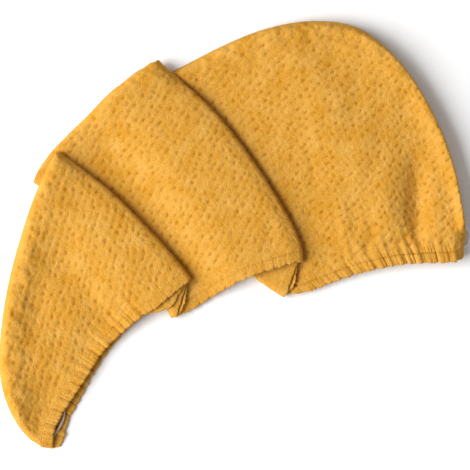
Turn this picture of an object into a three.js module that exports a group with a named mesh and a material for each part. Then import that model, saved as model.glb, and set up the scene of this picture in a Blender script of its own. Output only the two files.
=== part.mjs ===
// Hair turban towel, laid flat: a pouch of two towelling halves sewn together along the
// crown seam and open along a gathered hem, folded over itself in two knife pleats.
// Millimetres, +Z up, +X towards the head end, +Y towards the crown seam.

import * as THREE from "three";
import { mergeVertices } from "three/addons/utils/BufferGeometryUtils.js";

// The towel as it lies
const LAID_WIDTH = 464;
const LAID_DEPTH = 429;

// The towelling and the room between its walls
const CLOTH = 2.4;
const PLY_SPACE = 0.8;
const SEAM_SPACE = 0.4;
const HEAD_HOLLOW = 11;
const MIDDLE_HOLLOW = 8;
const TAIL_HOLLOW = 7.5;
const HEAD_MOUTH = 8;
const MIDDLE_MOUTH = 6.5;

// How far the soft slopes run
const SEAM_SLOPE = 26;
const END_SLOPE = 12;
const MOUTH_SLOPE = 45;
const PLEAT_SLOPE = 34;
const DRAPE = 58;

// The gathered hem
const HEM_WIDTH = 11;
const HEM_JOIN = 1.0;
const HEM_SWELL = 1.2;
const SHOULDER_SHARE = 0.2;
const RUFFLE_PITCH = 10.5;
const RUFFLE_DEPTH = 2.4;
const RUFFLE_RISE = 1.0;
const UNDER_REACH = 8;
const UPPER_REACH = 5.5;

// The button and its loop
const BUTTON_DIAMETER = 21;
const BUTTON_THICKNESS = 3.5;
const BUTTON_RIM = 2;
const BUTTON_DISH = 0.7;
const BUTTON_SLOPE = 34;
const LOOP_CORD = 2.2;

// How finely the faces follow the cloth
const CLOTH_STRIDE = 15;
const HEM_STRIDE = 3.5;
const TURN_STEPS = 6;
const RETURN_STEPS = 3;
const EDGE_SAMPLES = 48;
const ROUND_STEPS = 24;
const LOOP_SIDES = 8;
const LOOP_STEPS = 30;

// What follows from the sizes above
const PLY = CLOTH + PLY_SPACE;
const OUTER_TURN = 1.5 * PLY;
const INNER_TURN = 0.5 * PLY;
const FOLD_RADIUS = OUTER_TURN + CLOTH / 2;
const TAIL_MOUTH = HEM_SWELL + RUFFLE_RISE + LOOP_CORD + 2 * SEAM_SPACE;
const LOWEST = CLOTH / 2;
const BUTTON_PLATEAU = BUTTON_DIAMETER;

// A pleat's walls from the floor up, counted in plies: the next panel's two, then the two
// that turn back, then the two of the panel on top
const UNDER = "under";
const UPPER = "upper";
const PLY_COUNTS = { valleyTurn: 1.5, return: { [UPPER]: 2, [UNDER]: 3 }, mountainTurn: 3.5, top: 4 };

// Ribs of the three panels, tail to head. Each row is one rib from the hem to the crown
// seam, in shares of LAID_WIDTH and LAID_DEPTH; under is how far the under half's hem
// stands out past the upper one's, as a share of UNDER_REACH.
const TAIL_RIBS = [
  { hemX: 0.118, hemY: 0.01, crownX: 0.088, crownY: 0.005, under: 0.9 },
  { hemX: 0.12, hemY: 0.04, crownX: 0.045, crownY: 0.055, under: 1.3 },
  { hemX: 0.134, hemY: 0.077, crownX: 0.017, crownY: 0.112, under: 1.0 },
  { hemX: 0.159, hemY: 0.119, crownX: 0.003, crownY: 0.175, under: 0.85 },
  { hemX: 0.191, hemY: 0.172, crownX: 0.002, crownY: 0.249, under: 0.6 },
  { hemX: 0.222, hemY: 0.224, crownX: 0.014, crownY: 0.357, under: 0.6 },
  { hemX: 0.267, hemY: 0.273, crownX: 0.032, crownY: 0.445, under: 0.3 },
  { hemX: 0.315, hemY: 0.315, crownX: 0.055, crownY: 0.529, under: 0.25 },
  { hemX: 0.362, hemY: 0.35, crownX: 0.085, crownY: 0.611, under: 1.1 },
];
const MIDDLE_RIBS = [
  { hemX: 0.409, hemY: 0.322, crownX: 0.102, crownY: 0.684 },
  { hemX: 0.457, hemY: 0.354, crownX: 0.143, crownY: 0.733 },
  { hemX: 0.5, hemY: 0.38, crownX: 0.188, crownY: 0.78 },
  { hemX: 0.543, hemY: 0.401, crownX: 0.231, crownY: 0.826 },
  { hemX: 0.595, hemY: 0.42, crownX: 0.28, crownY: 0.872 },
];
const HEAD_RIBS = [
  { hemX: 0.659, hemY: 0.366, crownX: 0.366, crownY: 0.879 },
  { hemX: 0.716, hemY: 0.388, crownX: 0.461, crownY: 0.934 },
  { hemX: 0.772, hemY: 0.408, crownX: 0.565, crownY: 0.981 },
  { hemX: 0.828, hemY: 0.422, crownX: 0.675, crownY: 1.002 },
  { hemX: 0.879, hemY: 0.43, crownX: 0.769, crownY: 0.986 },
  { hemX: 0.925, hemY: 0.432, crownX: 0.852, crownY: 0.915 },
  { hemX: 0.959, hemY: 0.436, crownX: 0.922, crownY: 0.802 },
  { hemX: 0.983, hemY: 0.44, crownX: 0.972, crownY: 0.667 },
  { hemX: 0.996, hemY: 0.447, crownX: 1.0, crownY: 0.499 },
];

// The pleats' edges as seen from above, hem end first: mountain is the edge that shows
// towards the head, valley the one tucked in behind it, in shares of the laid sizes
const TAIL_PLEAT = {
  mountain: [
    { x: 0.414, y: 0.394 },
    { x: 0.403, y: 0.413 },
    { x: 0.345, y: 0.487 },
    { x: 0.237, y: 0.604 },
    { x: 0.126, y: 0.696 },
  ],
  valley: [
    { x: 0.37, y: 0.304 },
    { x: 0.353, y: 0.34 },
    { x: 0.31, y: 0.396 },
    { x: 0.198, y: 0.524 },
    { x: 0.075, y: 0.636 },
  ],
};
const HEAD_PLEAT = {
  mountain: [
    { x: 0.653, y: 0.436 },
    { x: 0.647, y: 0.48 },
    { x: 0.597, y: 0.587 },
    { x: 0.474, y: 0.774 },
    { x: 0.341, y: 0.909 },
  ],
  valley: [
    { x: 0.612, y: 0.354 },
    { x: 0.575, y: 0.378 },
    { x: 0.539, y: 0.41 },
    { x: 0.409, y: 0.632 },
    { x: 0.282, y: 0.837 },
  ],
};

// Soft dents and ridges of the upper half: middle, length and width in shares of
// LAID_WIDTH and LAID_DEPTH, bearing in degrees from +X, rise as a share of HEAD_HOLLOW
const DENTS = [
  { x: 0.884, y: 0.569, length: 0.09, width: 0.035, bearing: 90, rise: -0.22 },
  { x: 0.83, y: 0.515, length: 0.08, width: 0.04, bearing: 80, rise: 0.14 },
  { x: 0.651, y: 0.674, length: 0.07, width: 0.035, bearing: 70, rise: -0.12 },
  { x: 0.517, y: 0.452, length: 0.06, width: 0.035, bearing: 100, rise: 0.16 },
  { x: 0.573, y: 0.476, length: 0.05, width: 0.03, bearing: 100, rise: -0.12 },
  { x: 0.442, y: 0.459, length: 0.08, width: 0.03, bearing: 35, rise: -0.12 },
  { x: 0.222, y: 0.312, length: 0.04, width: 0.035, bearing: 50, rise: -0.16 },
  { x: 0.19, y: 0.249, length: 0.04, width: 0.03, bearing: 50, rise: -0.14 },
];

// Where the button lies and how the loop runs, in the same shares: out of the tip's seam, past
// the mouth and back. Lift is 1 where the loop lies on the under hem and 0 on the cloth.
const BUTTON_PLACE = { x: 0.991, y: 0.495 };
const LOOP_ROUTE = [
  { x: 0.111, y: 0.029, lift: 0.4 },
  { x: 0.118, y: 0.037, lift: 0.7 },
  { x: 0.126, y: 0.048, lift: 0.9 },
  { x: 0.133, y: 0.06, lift: 1 },
  { x: 0.138, y: 0.073, lift: 1 },
  { x: 0.14, y: 0.087, lift: 0.9 },
  { x: 0.138, y: 0.101, lift: 0.8 },
  { x: 0.132, y: 0.111, lift: 0.6 },
  { x: 0.123, y: 0.114, lift: 0.3 },
  { x: 0.115, y: 0.108, lift: 0.1 },
  { x: 0.112, y: 0.097, lift: 0 },
  { x: 0.111, y: 0.083, lift: 0 },
  { x: 0.11, y: 0.068, lift: 0 },
  { x: 0.107, y: 0.054, lift: 0 },
  { x: 0.102, y: 0.041, lift: 0 },
];

// Rows of the cloth's faces from the hem to the crown seam, as shares of a rib
const CLOTH_ROWS = [0, 0.06, 0.16, 0.29, 0.43, 0.57, 0.7, 0.81, 0.895, 0.955, 1];

const { smoothstep, lerp, clamp, degToRad } = THREE.MathUtils;

function place({ x, y }) {
  return new THREE.Vector3(x * LAID_WIDTH, y * LAID_DEPTH, 0);
}

function route(points) {
  return new THREE.CatmullRomCurve3(points, false, "centripetal");
}

// Plan direction square to a fold, pointing towards the head end
function headward(curve, share) {
  const along = curve.getTangentAt(share);
  return new THREE.Vector3(along.y, -along.x, 0);
}

// A line that runs beside a pleat's edge, from the hem to the crown seam
class BesideFold extends THREE.Curve {
  constructor(edge, shift) {
    super();
    this.edge = edge;
    this.shift = shift;
  }

  getPoint(share) {
    return this.edge.getPointAt(share).addScaledVector(headward(this.edge, share), this.shift);
  }
}

// A rib of a panel: straight ribs between hem and crown, bent as its two side lines bend
class PanelRib extends THREE.Curve {
  constructor(panel, across) {
    super();
    this.panel = panel;
    this.across = across;
  }

  getPoint(share) {
    const { hem, crown, tailSide, headSide } = this.panel;
    const straight = hem.getPoint(this.across).lerp(crown.getPoint(this.across), share);
    const bend = (side) => {
      const chord = side.getPoint(0).lerp(side.getPoint(1), share);
      return side.getPoint(share).sub(chord);
    };
    return straight
      .addScaledVector(bend(tailSide), 1 - this.across)
      .addScaledVector(bend(headSide), this.across);
  }
}

// A rib of the cloth turned back between a mountain fold and its valley fold
class ReturnRib extends THREE.Curve {
  constructor(pleat, across) {
    super();
    this.pleat = pleat;
    this.across = across;
  }

  getPoint(share) {
    const { mountainAxis, valleyAxis } = this.pleat;
    return mountainAxis.getPoint(share).lerp(valleyAxis.getPoint(share), this.across);
  }
}

function makePleat({ mountain, valley }) {
  const mountainEdge = route(mountain.map(place));
  const valleyEdge = route(valley.map(place));
  // What lies under the pleat ends at its mountain edge, then at the hem of its return
  const cover = mountainEdge.getSpacedPoints(EDGE_SAMPLES).reverse();
  cover.push(valleyEdge.getPoint(0));
  return {
    mountainEdge,
    valleyEdge,
    mountainAxis: new BesideFold(mountainEdge, -FOLD_RADIUS),
    valleyAxis: new BesideFold(valleyEdge, FOLD_RADIUS),
    cover,
    tuck: valleyEdge.getSpacedPoints(EDGE_SAMPLES).reverse(),
  };
}

// Distance from a line, positive on its head side; the line's points start at the crown
function headwardOf(line, point) {
  let nearest = Infinity;
  let signed = 0;
  for (let i = 0; i + 1 < line.length; i += 1) {
    const run = line[i + 1].clone().sub(line[i]);
    const from = point.clone().sub(line[i]).setZ(0);
    const share = clamp(from.dot(run) / run.lengthSq(), 0, 1);
    const gap = from.addScaledVector(run, -share);
    const distance = gap.length();
    if (distance < nearest) {
      nearest = distance;
      signed = distance * Math.sign(run.x * gap.y - run.y * gap.x || 1);
    }
  }
  return signed;
}

const tailPleat = makePleat(TAIL_PLEAT);
const headPleat = makePleat(HEAD_PLEAT);

function endRib({ hemX, hemY, crownX, crownY }) {
  return new THREE.LineCurve3(place({ x: hemX, y: hemY }), place({ x: crownX, y: crownY }));
}

// A panel between two side lines; pleats left and right of it press its walls together
function makePanel({ ribs, tailSide, headSide, before, after, hollow, mouth }) {
  const hemPoints = ribs.map(({ hemX, hemY }) => place({ x: hemX, y: hemY }));
  const crownPoints = ribs.map(({ crownX, crownY }) => place({ x: crownX, y: crownY }));
  if (before) {
    hemPoints.unshift(tailSide.getPoint(0));
    crownPoints.unshift(tailSide.getPoint(1));
  }
  if (after) {
    hemPoints.push(headSide.getPoint(0));
    crownPoints.push(headSide.getPoint(1));
  }
  return {
    hem: route(hemPoints),
    crown: route(crownPoints),
    tailSide,
    headSide,
    before,
    after,
    hollow,
    mouth,
    sewnEnd: before && after ? null : (before ? headSide : tailSide).getSpacedPoints(2).reverse(),
    standOut: ribs.map(({ under = 0 }) => under).concat(after ? [0] : []),
  };
}

const tailPanel = makePanel({
  ribs: TAIL_RIBS,
  tailSide: endRib(TAIL_RIBS[0]),
  headSide: tailPleat.mountainAxis,
  before: null,
  after: tailPleat,
  hollow: TAIL_HOLLOW,
  mouth: TAIL_MOUTH,
});
const middlePanel = makePanel({
  ribs: MIDDLE_RIBS,
  tailSide: tailPleat.valleyAxis,
  headSide: headPleat.mountainAxis,
  before: tailPleat,
  after: headPleat,
  hollow: MIDDLE_HOLLOW,
  mouth: MIDDLE_MOUTH,
});
const headPanel = makePanel({
  ribs: HEAD_RIBS,
  tailSide: headPleat.valleyAxis,
  headSide: endRib(HEAD_RIBS.at(-1)),
  before: headPleat,
  after: null,
  hollow: HEAD_HOLLOW,
  mouth: HEAD_MOUTH,
});

// How much of its full hollow a panel has at a place: none under or at a pleat
function looseness(panel, point) {
  let loose = 1;
  if (panel.before) {
    loose *= smoothstep(headwardOf(panel.before.cover, point), 0, PLEAT_SLOPE);
  }
  if (panel.after) {
    const inside = -headwardOf(panel.after.cover, point) - FOLD_RADIUS;
    loose *= smoothstep(inside, 0, PLEAT_SLOPE);
  }
  return loose;
}

function dentRise(point) {
  return DENTS.reduce((sum, { x, y, length, width, bearing, rise }) => {
    const offset = point.clone().setZ(0).sub(place({ x, y }));
    offset.applyAxisAngle(new THREE.Vector3(0, 0, 1), -degToRad(bearing));
    const along = offset.x / (length * LAID_WIDTH);
    const aside = offset.y / (width * LAID_DEPTH);
    return sum + rise * HEAD_HOLLOW * Math.exp(-(along ** 2) - aside ** 2);
  }, 0);
}

function buttonLift(point) {
  const distance = point.clone().setZ(0).distanceTo(place(BUTTON_PLACE));
  const share = 1 - smoothstep(distance, BUTTON_PLATEAU, BUTTON_PLATEAU + BUTTON_SLOPE);
  return share * (BUTTON_THICKNESS + SEAM_SPACE);
}

// Height of the under half's middle: down on the floor, or up over the next pleat
function underHeight(panel, point) {
  if (!panel.after) {
    return LOWEST + buttonLift(point);
  }
  const beyondTuck = -headwardOf(panel.after.tuck, point);
  return LOWEST + PLY_COUNTS.top * PLY * (1 - smoothstep(beyondTuck, 0, DRAPE));
}

// A quarter round, from nothing at a seam to the full height where the slope ends
function puff(distance, slope) {
  return Math.sin((Math.PI / 2) * clamp(distance / slope, 0, 1));
}

// How far the mouth is open near the end where the halves are sewn together
function endPuff({ sewnEnd }, point) {
  return sewnEnd ? puff(Math.abs(headwardOf(sewnEnd, point)), END_SLOPE) : 1;
}

// Distance between the middles of the two halves
function spread(panel, point, toHem, toCrown) {
  const full = lerp(panel.mouth, panel.hollow, smoothstep(toHem, 0, MOUTH_SLOPE));
  const open = full + dentRise(point) * smoothstep(toHem, 0, HEM_WIDTH);
  const opened = Math.min(puff(toCrown, SEAM_SLOPE), endPuff(panel, point));
  const space = lerp(PLY_SPACE, lerp(SEAM_SPACE, open, opened), looseness(panel, point));
  return CLOTH + space;
}

function panelHeight(half, panel) {
  return (point, toHem, toCrown) => {
    const under = underHeight(panel, point);
    return half === UNDER ? under : under + spread(panel, point, toHem, toCrown);
  };
}

// How far a half's hem stands out at a share of the way across its panel
function panelReach(half, panel, across) {
  if (half === UPPER) {
    return 0;
  }
  const steps = panel.standOut;
  const at = across * (steps.length - 1);
  const row = Math.min(Math.floor(at), steps.length - 2);
  return UNDER_REACH * lerp(steps[row], steps[row + 1], at - row);
}

// Shares of the way across a panel at which the edges named advance by even steps
function evenShares(edges, stride) {
  const runs = [0];
  for (let i = 1; i <= EDGE_SAMPLES; i += 1) {
    const step = edges.reduce((sum, edge) => sum + edge.getPoint(i / EDGE_SAMPLES)
      .distanceTo(edge.getPoint((i - 1) / EDGE_SAMPLES)), 0);
    runs.push(runs[i - 1] + step / edges.length);
  }
  const count = Math.ceil(runs.at(-1) / stride);
  return Array.from({ length: count + 1 }, (_, k) => {
    const goal = (k / count) * runs.at(-1);
    const i = clamp(runs.findIndex((run) => run >= goal), 1, EDGE_SAMPLES);
    return (i - 1 + (goal - runs[i - 1]) / (runs[i] - runs[i - 1])) / EDGE_SAMPLES;
  });
}

function panelColumns(half, panel, stride, edges) {
  return evenShares(edges.map((edge) => panel[edge]), stride).map((across) => ({
    rib: new PanelRib(panel, across),
    height: panelHeight(half, panel),
    reach: panelReach(half, panel, across),
    ruffled: 1,
  }));
}

// A half round turn about a pleat's axis, from the upper cloth down to the lower one
function turnColumns(edge, towards, radius, ply) {
  const columns = [];
  for (let i = 1; i < TURN_STEPS; i += 1) {
    const angle = Math.PI * (0.5 - i / TURN_STEPS);
    const shift = towards * (radius * Math.cos(angle) - FOLD_RADIUS);
    columns.push({
      rib: new BesideFold(edge, shift),
      height: () => LOWEST + ply * PLY + radius * Math.sin(angle),
      reach: 0,
      ruffled: 0,
    });
  }
  return columns;
}

function returnColumns(half, pleat, stride) {
  const depth = pleat.mountainEdge.getPoint(0).distanceTo(pleat.valleyEdge.getPoint(0));
  const count = Math.max(RETURN_STEPS, Math.round(depth / stride));
  const columns = [];
  for (let i = 0; i <= count; i += 1) {
    const across = i / count;
    const standOut = half === UPPER ? UPPER_REACH * Math.sin(Math.PI * across) : 0;
    columns.push({
      rib: new ReturnRib(pleat, across),
      height: () => LOWEST + PLY_COUNTS.return[half] * PLY,
      reach: standOut,
      ruffled: 0,
    });
  }
  return columns;
}

function pleatColumns(half, pleat, stride) {
  const mountainTurn = half === UPPER ? OUTER_TURN : INNER_TURN;
  const valleyTurn = half === UPPER ? INNER_TURN : OUTER_TURN;
  return [
    ...turnColumns(pleat.mountainEdge, 1, mountainTurn, PLY_COUNTS.mountainTurn),
    ...returnColumns(half, pleat, stride),
    ...turnColumns(pleat.valleyEdge, -1, valleyTurn, PLY_COUNTS.valleyTurn),
  ];
}

// All ribs of one half, from the tail tip to the head end
function halfColumns(half, stride, edges) {
  return [
    ...panelColumns(half, tailPanel, stride, edges),
    ...pleatColumns(half, tailPleat, stride),
    ...panelColumns(half, middlePanel, stride, edges),
    ...pleatColumns(half, headPleat, stride),
    ...panelColumns(half, headPanel, stride, edges),
  ];
}

// A point of a half's middle surface, at a distance from where the rib's hem end lies
function surfacePoint({ rib, height }, distance) {
  const length = rib.getLength();
  const share = clamp(distance / length, 0, 1);
  const point = rib.getPointAt(share);
  if (distance < 0) {
    point.addScaledVector(rib.getTangentAt(0), distance);
  }
  return point.setZ(height(point, Math.max(distance, 0), length - distance));
}

// Upward side of a grid of points, averaged from the faces' edges around each one
function gridNormals(grid) {
  const direction = (from, to) => (from && to ? to.clone().sub(from).normalize()
    : new THREE.Vector3());
  return grid.map((line, i) => line.map((point, j) => {
    const across = direction(grid[i - 1]?.[j], point).add(direction(point, grid[i + 1]?.[j]));
    const along = direction(line[j - 1], point).add(direction(point, line[j + 1]));
    return across.cross(along).normalize();
  }));
}

// One closed body skinned over a row of outlines that all have the same number of points
function skin(outlines) {
  const size = outlines[0].length;
  const triangles = [];
  for (let i = 0; i + 1 < outlines.length; i += 1) {
    for (let j = 0; j < size; j += 1) {
      const next = (j + 1) % size;
      const corners = [i * size + j, i * size + next, (i + 1) * size + next, (i + 1) * size + j];
      triangles.push(corners[0], corners[2], corners[1], corners[0], corners[3], corners[2]);
    }
  }
  const last = (outlines.length - 1) * size;
  const cap = (a, b, c) => {
    triangles.push(a, b, c);
    triangles.push(last + a, last + c, last + b);
  };
  for (let j = 0; j < size - 2 - j; j += 1) {
    const facing = size - 1 - j;
    cap(j, j + 1, facing);
    if (j + 1 < facing - 1) {
      cap(j + 1, facing - 1, facing);
    }
  }
  const geometry = new THREE.BufferGeometry();
  geometry.setAttribute("position", new THREE.Float32BufferAttribute(
    outlines.flat().flatMap((point) => point.toArray()), 3));
  geometry.setIndex(triangles);
  return geometry;
}

function clothWall(half) {
  const grid = halfColumns(half, CLOTH_STRIDE, ["hem", "crown"]).map((column) => {
    const start = HEM_WIDTH + HEM_JOIN - column.reach;
    return CLOTH_ROWS.map((share) => surfacePoint(column, lerp(start, column.rib.getLength(), share)));
  });
  const normals = gridNormals(grid);
  const face = (i, side) => grid[i].map((point, j) =>
    point.clone().addScaledVector(normals[i][j], side * CLOTH / 2));
  return skin(grid.map((line, i) => [...face(i, 1), ...face(i, -1).reverse()]));
}

// The gathered hem: its nose goes in and out and up and down once for each gather
function hemBand(half) {
  const columns = halfColumns(half, HEM_STRIDE, ["hem"]);
  let run = 0;
  let previous = null;
  const waves = columns.map((column) => {
    const start = surfacePoint(column, 0);
    run += previous ? start.distanceTo(previous) : 0;
    previous = start;
    return 0.5 - 0.5 * Math.cos((2 * Math.PI * run) / RUFFLE_PITCH);
  });
  const grid = columns.map((column, i) => {
    const nose = RUFFLE_DEPTH * waves[i] * column.ruffled - column.reach;
    const inner = HEM_WIDTH - column.reach;
    const shoulder = lerp(nose, inner, SHOULDER_SHARE);
    const line = [nose, shoulder, inner].map((distance) => surfacePoint(column, distance));
    const rise = RUFFLE_RISE * waves[i] * freedom(column, line[0]);
    line[0].z += rise;
    line[1].z += rise;
    return line;
  });
  const normals = gridNormals(grid);
  return skin(grid.map(([nose, shoulder, inner], i) => {
    const swell = HEM_SWELL * freedom(columns[i], nose);
    const [noseUp, shoulderUp, innerUp] = normals[i];
    return [
      shoulder.clone().addScaledVector(shoulderUp, CLOTH / 2 + swell),
      inner.clone().addScaledVector(innerUp, CLOTH / 2),
      inner.clone().addScaledVector(innerUp, -CLOTH / 2),
      shoulder.clone().addScaledVector(shoulderUp, -CLOTH / 2),
      nose.clone().addScaledVector(noseUp, swell / 2),
    ];
  }));
}

// The hem swells and ruffles only where neither a pleat nor a seam holds it flat
function freedom({ rib: { panel } }, point) {
  return panel ? looseness(panel, point) * endPuff(panel, point) : 0;
}

function buttonBody() {
  const radius = BUTTON_DIAMETER / 2;
  const rounding = BUTTON_THICKNESS / 4;
  const dish = BUTTON_THICKNESS - BUTTON_DISH;
  const profile = [
    new THREE.Vector2(0, 0),
    new THREE.Vector2(radius - rounding, 0),
    new THREE.Vector2(radius, rounding),
    new THREE.Vector2(radius, BUTTON_THICKNESS - rounding),
    new THREE.Vector2(radius - rounding, BUTTON_THICKNESS),
    new THREE.Vector2(radius - BUTTON_RIM, BUTTON_THICKNESS),
    new THREE.Vector2(radius - BUTTON_RIM - BUTTON_DISH, dish),
    new THREE.Vector2(0, dish),
  ];
  const geometry = new THREE.LatheGeometry(profile, ROUND_STEPS);
  geometry.rotateX(Math.PI / 2);
  return geometry;
}

// A round elastic cord that lies on the under half and its hem
function loopBody() {
  const path = route(LOOP_ROUTE.map((row) => {
    const under = CLOTH + row.lift * (HEM_SWELL + RUFFLE_RISE);
    return place(row).setZ(under + SEAM_SPACE + LOOP_CORD / 2);
  }));
  const section = new THREE.Shape();
  section.absarc(0, 0, LOOP_CORD / 2, 0, 2 * Math.PI, false);
  return new THREE.ExtrudeGeometry(section, {
    steps: LOOP_STEPS,
    curveSegments: LOOP_SIDES / 2,
    extrudePath: path,
  });
}

function closedMesh(name, geometry, material) {
  geometry.deleteAttribute("normal");
  geometry.deleteAttribute("uv");
  const merged = mergeVertices(geometry);
  merged.computeVertexNormals();
  const mesh = new THREE.Mesh(merged, material);
  mesh.name = name;
  return mesh;
}

const towelling = new THREE.MeshStandardMaterial({ color: 0xe1a13d, roughness: 0.95, metalness: 0 });
const hemming = new THREE.MeshStandardMaterial({ color: 0xd6963a, roughness: 0.95, metalness: 0 });
const resin = new THREE.MeshStandardMaterial({ color: 0xf1f0ec, roughness: 0.3, metalness: 0 });
const elastic = new THREE.MeshStandardMaterial({ color: 0xe9e4dc, roughness: 0.8, metalness: 0 });

const button = closedMesh("button", buttonBody(), resin);
button.position.copy(place(BUTTON_PLACE));

const turban = new THREE.Group();
turban.add(
  closedMesh("upper_half", clothWall(UPPER), towelling),
  closedMesh("under_half", clothWall(UNDER), towelling),
  closedMesh("upper_hem", hemBand(UPPER), hemming),
  closedMesh("under_hem", hemBand(UNDER), hemming),
  button,
  closedMesh("button_loop", loopBody(), elastic),
);

// The origin is under the middle of the towel's outline
turban.updateMatrixWorld(true);
const outline = new THREE.Box3().setFromObject(turban);
const centre = outline.getCenter(new THREE.Vector3());
turban.position.set(-centre.x, -centre.y, -outline.min.z);

export default turban;
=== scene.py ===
"""A hair turban towel laid flat: towelling pouch, gathered hems, button and elastic loop.

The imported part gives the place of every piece. This script lays the same cloth over the same
ribs and folds at full detail, with its woven dimples, puckers, wrinkles, seams and stitches,
and then sets a pale floor, soft light and a camera. Lengths are in millimetres until a mesh
is made, and shares are shares of the laid width and depth unless a comment says otherwise.
"""

import logging
import math
from dataclasses import dataclass, field
from enum import Enum
from typing import NamedTuple

import bpy
import numpy as np
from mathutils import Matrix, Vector


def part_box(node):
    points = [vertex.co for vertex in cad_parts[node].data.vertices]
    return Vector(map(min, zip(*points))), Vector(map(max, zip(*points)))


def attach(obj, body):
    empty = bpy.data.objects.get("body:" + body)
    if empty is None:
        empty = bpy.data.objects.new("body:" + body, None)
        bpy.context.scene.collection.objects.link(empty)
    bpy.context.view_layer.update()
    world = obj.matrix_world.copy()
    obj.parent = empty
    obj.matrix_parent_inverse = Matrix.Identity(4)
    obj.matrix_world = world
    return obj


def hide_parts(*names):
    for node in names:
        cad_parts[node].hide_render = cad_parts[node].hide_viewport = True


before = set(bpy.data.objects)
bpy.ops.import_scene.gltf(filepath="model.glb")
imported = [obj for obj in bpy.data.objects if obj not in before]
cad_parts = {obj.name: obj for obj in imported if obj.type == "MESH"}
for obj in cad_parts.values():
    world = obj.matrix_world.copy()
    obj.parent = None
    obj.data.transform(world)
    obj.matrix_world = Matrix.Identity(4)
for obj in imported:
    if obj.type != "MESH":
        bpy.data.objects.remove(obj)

log = logging.getLogger("hair_towel")
Array = np.ndarray
METRES = 0.001
RIB_SHARES = np.linspace(0.0, 1.0, 97)


class Side(Enum):
    """The two halves of the pouch as they lie, with the way their outer face points."""

    UPPER = 1
    UNDER = -1

    @property
    def word(self) -> str:
        """The half's word in the names of its pieces and solids."""
        return self.name.lower()


class Rib(NamedTuple):
    """A rib of a panel, from the hem to the crown seam, in shares of the laid sizes."""

    hem_x: float
    hem_y: float
    crown_x: float
    crown_y: float
    under: float = 0.0


class Spot(NamedTuple):
    """A place in plan, in shares of the laid sizes, with an optional lift of its own."""

    x: float
    y: float
    lift: float = 0.0


class Dent(NamedTuple):
    """A soft ridge or hollow: its middle, half length and half width in shares of the laid
    sizes, its bearing in degrees from +X, and its rise."""

    x: float
    y: float
    length: float
    width: float
    bearing: float
    rise: float


TAIL_RIBS = (
    Rib(0.118, 0.01, 0.088, 0.005, 0.9),
    Rib(0.12, 0.04, 0.045, 0.055, 1.3),
    Rib(0.134, 0.077, 0.017, 0.112, 1.0),
    Rib(0.159, 0.119, 0.003, 0.175, 0.85),
    Rib(0.191, 0.172, 0.002, 0.249, 0.6),
    Rib(0.222, 0.224, 0.014, 0.357, 0.6),
    Rib(0.267, 0.273, 0.032, 0.445, 0.3),
    Rib(0.315, 0.315, 0.055, 0.529, 0.25),
    Rib(0.362, 0.35, 0.085, 0.611, 1.1),
)
MIDDLE_RIBS = (
    Rib(0.409, 0.322, 0.102, 0.684),
    Rib(0.457, 0.354, 0.143, 0.733),
    Rib(0.5, 0.38, 0.188, 0.78),
    Rib(0.543, 0.401, 0.231, 0.826),
    Rib(0.595, 0.42, 0.28, 0.872),
)
HEAD_RIBS = (
    Rib(0.659, 0.366, 0.366, 0.879),
    Rib(0.716, 0.388, 0.461, 0.934),
    Rib(0.772, 0.408, 0.565, 0.981),
    Rib(0.828, 0.422, 0.675, 1.002),
    Rib(0.879, 0.43, 0.769, 0.986),
    Rib(0.925, 0.432, 0.852, 0.915),
    Rib(0.959, 0.436, 0.922, 0.802),
    Rib(0.983, 0.44, 0.972, 0.667),
    Rib(0.996, 0.447, 1.0, 0.499),
)

# The pleats' edges as seen from above, hem end first
TAIL_MOUNTAIN = (
    Spot(0.414, 0.394),
    Spot(0.403, 0.413),
    Spot(0.345, 0.487),
    Spot(0.237, 0.604),
    Spot(0.126, 0.696),
)
TAIL_VALLEY = (
    Spot(0.37, 0.304),
    Spot(0.353, 0.34),
    Spot(0.31, 0.396),
    Spot(0.198, 0.524),
    Spot(0.075, 0.636),
)
HEAD_MOUNTAIN = (
    Spot(0.653, 0.436),
    Spot(0.647, 0.48),
    Spot(0.597, 0.587),
    Spot(0.474, 0.774),
    Spot(0.341, 0.909),
)
HEAD_VALLEY = (
    Spot(0.612, 0.354),
    Spot(0.575, 0.378),
    Spot(0.539, 0.41),
    Spot(0.409, 0.632),
    Spot(0.282, 0.837),
)

# Large soft dents, with the rise as a share of the head panel's hollow
DENTS = (
    Dent(0.884, 0.569, 0.09, 0.035, 90, -0.22),
    Dent(0.83, 0.515, 0.08, 0.04, 80, 0.14),
    Dent(0.651, 0.674, 0.07, 0.035, 70, -0.12),
    Dent(0.517, 0.452, 0.06, 0.035, 100, 0.16),
    Dent(0.573, 0.476, 0.05, 0.03, 100, -0.12),
    Dent(0.442, 0.459, 0.08, 0.03, 35, -0.12),
    Dent(0.222, 0.312, 0.04, 0.035, 50, -0.16),
    Dent(0.19, 0.249, 0.04, 0.03, 50, -0.14),
)

BUTTON_PLACE = Spot(0.991, 0.495)
LOOP_ROUTE = (
    Spot(0.111, 0.029, 0.4),
    Spot(0.118, 0.037, 0.7),
    Spot(0.126, 0.048, 0.9),
    Spot(0.133, 0.06, 1.0),
    Spot(0.138, 0.073, 1.0),
    Spot(0.14, 0.087, 0.9),
    Spot(0.138, 0.101, 0.8),
    Spot(0.132, 0.111, 0.6),
    Spot(0.123, 0.114, 0.3),
    Spot(0.115, 0.108, 0.1),
    Spot(0.112, 0.097, 0.0),
    Spot(0.111, 0.083, 0.0),
    Spot(0.11, 0.068, 0.0),
    Spot(0.107, 0.054, 0.0),
    Spot(0.102, 0.041, 0.0),
)


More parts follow.
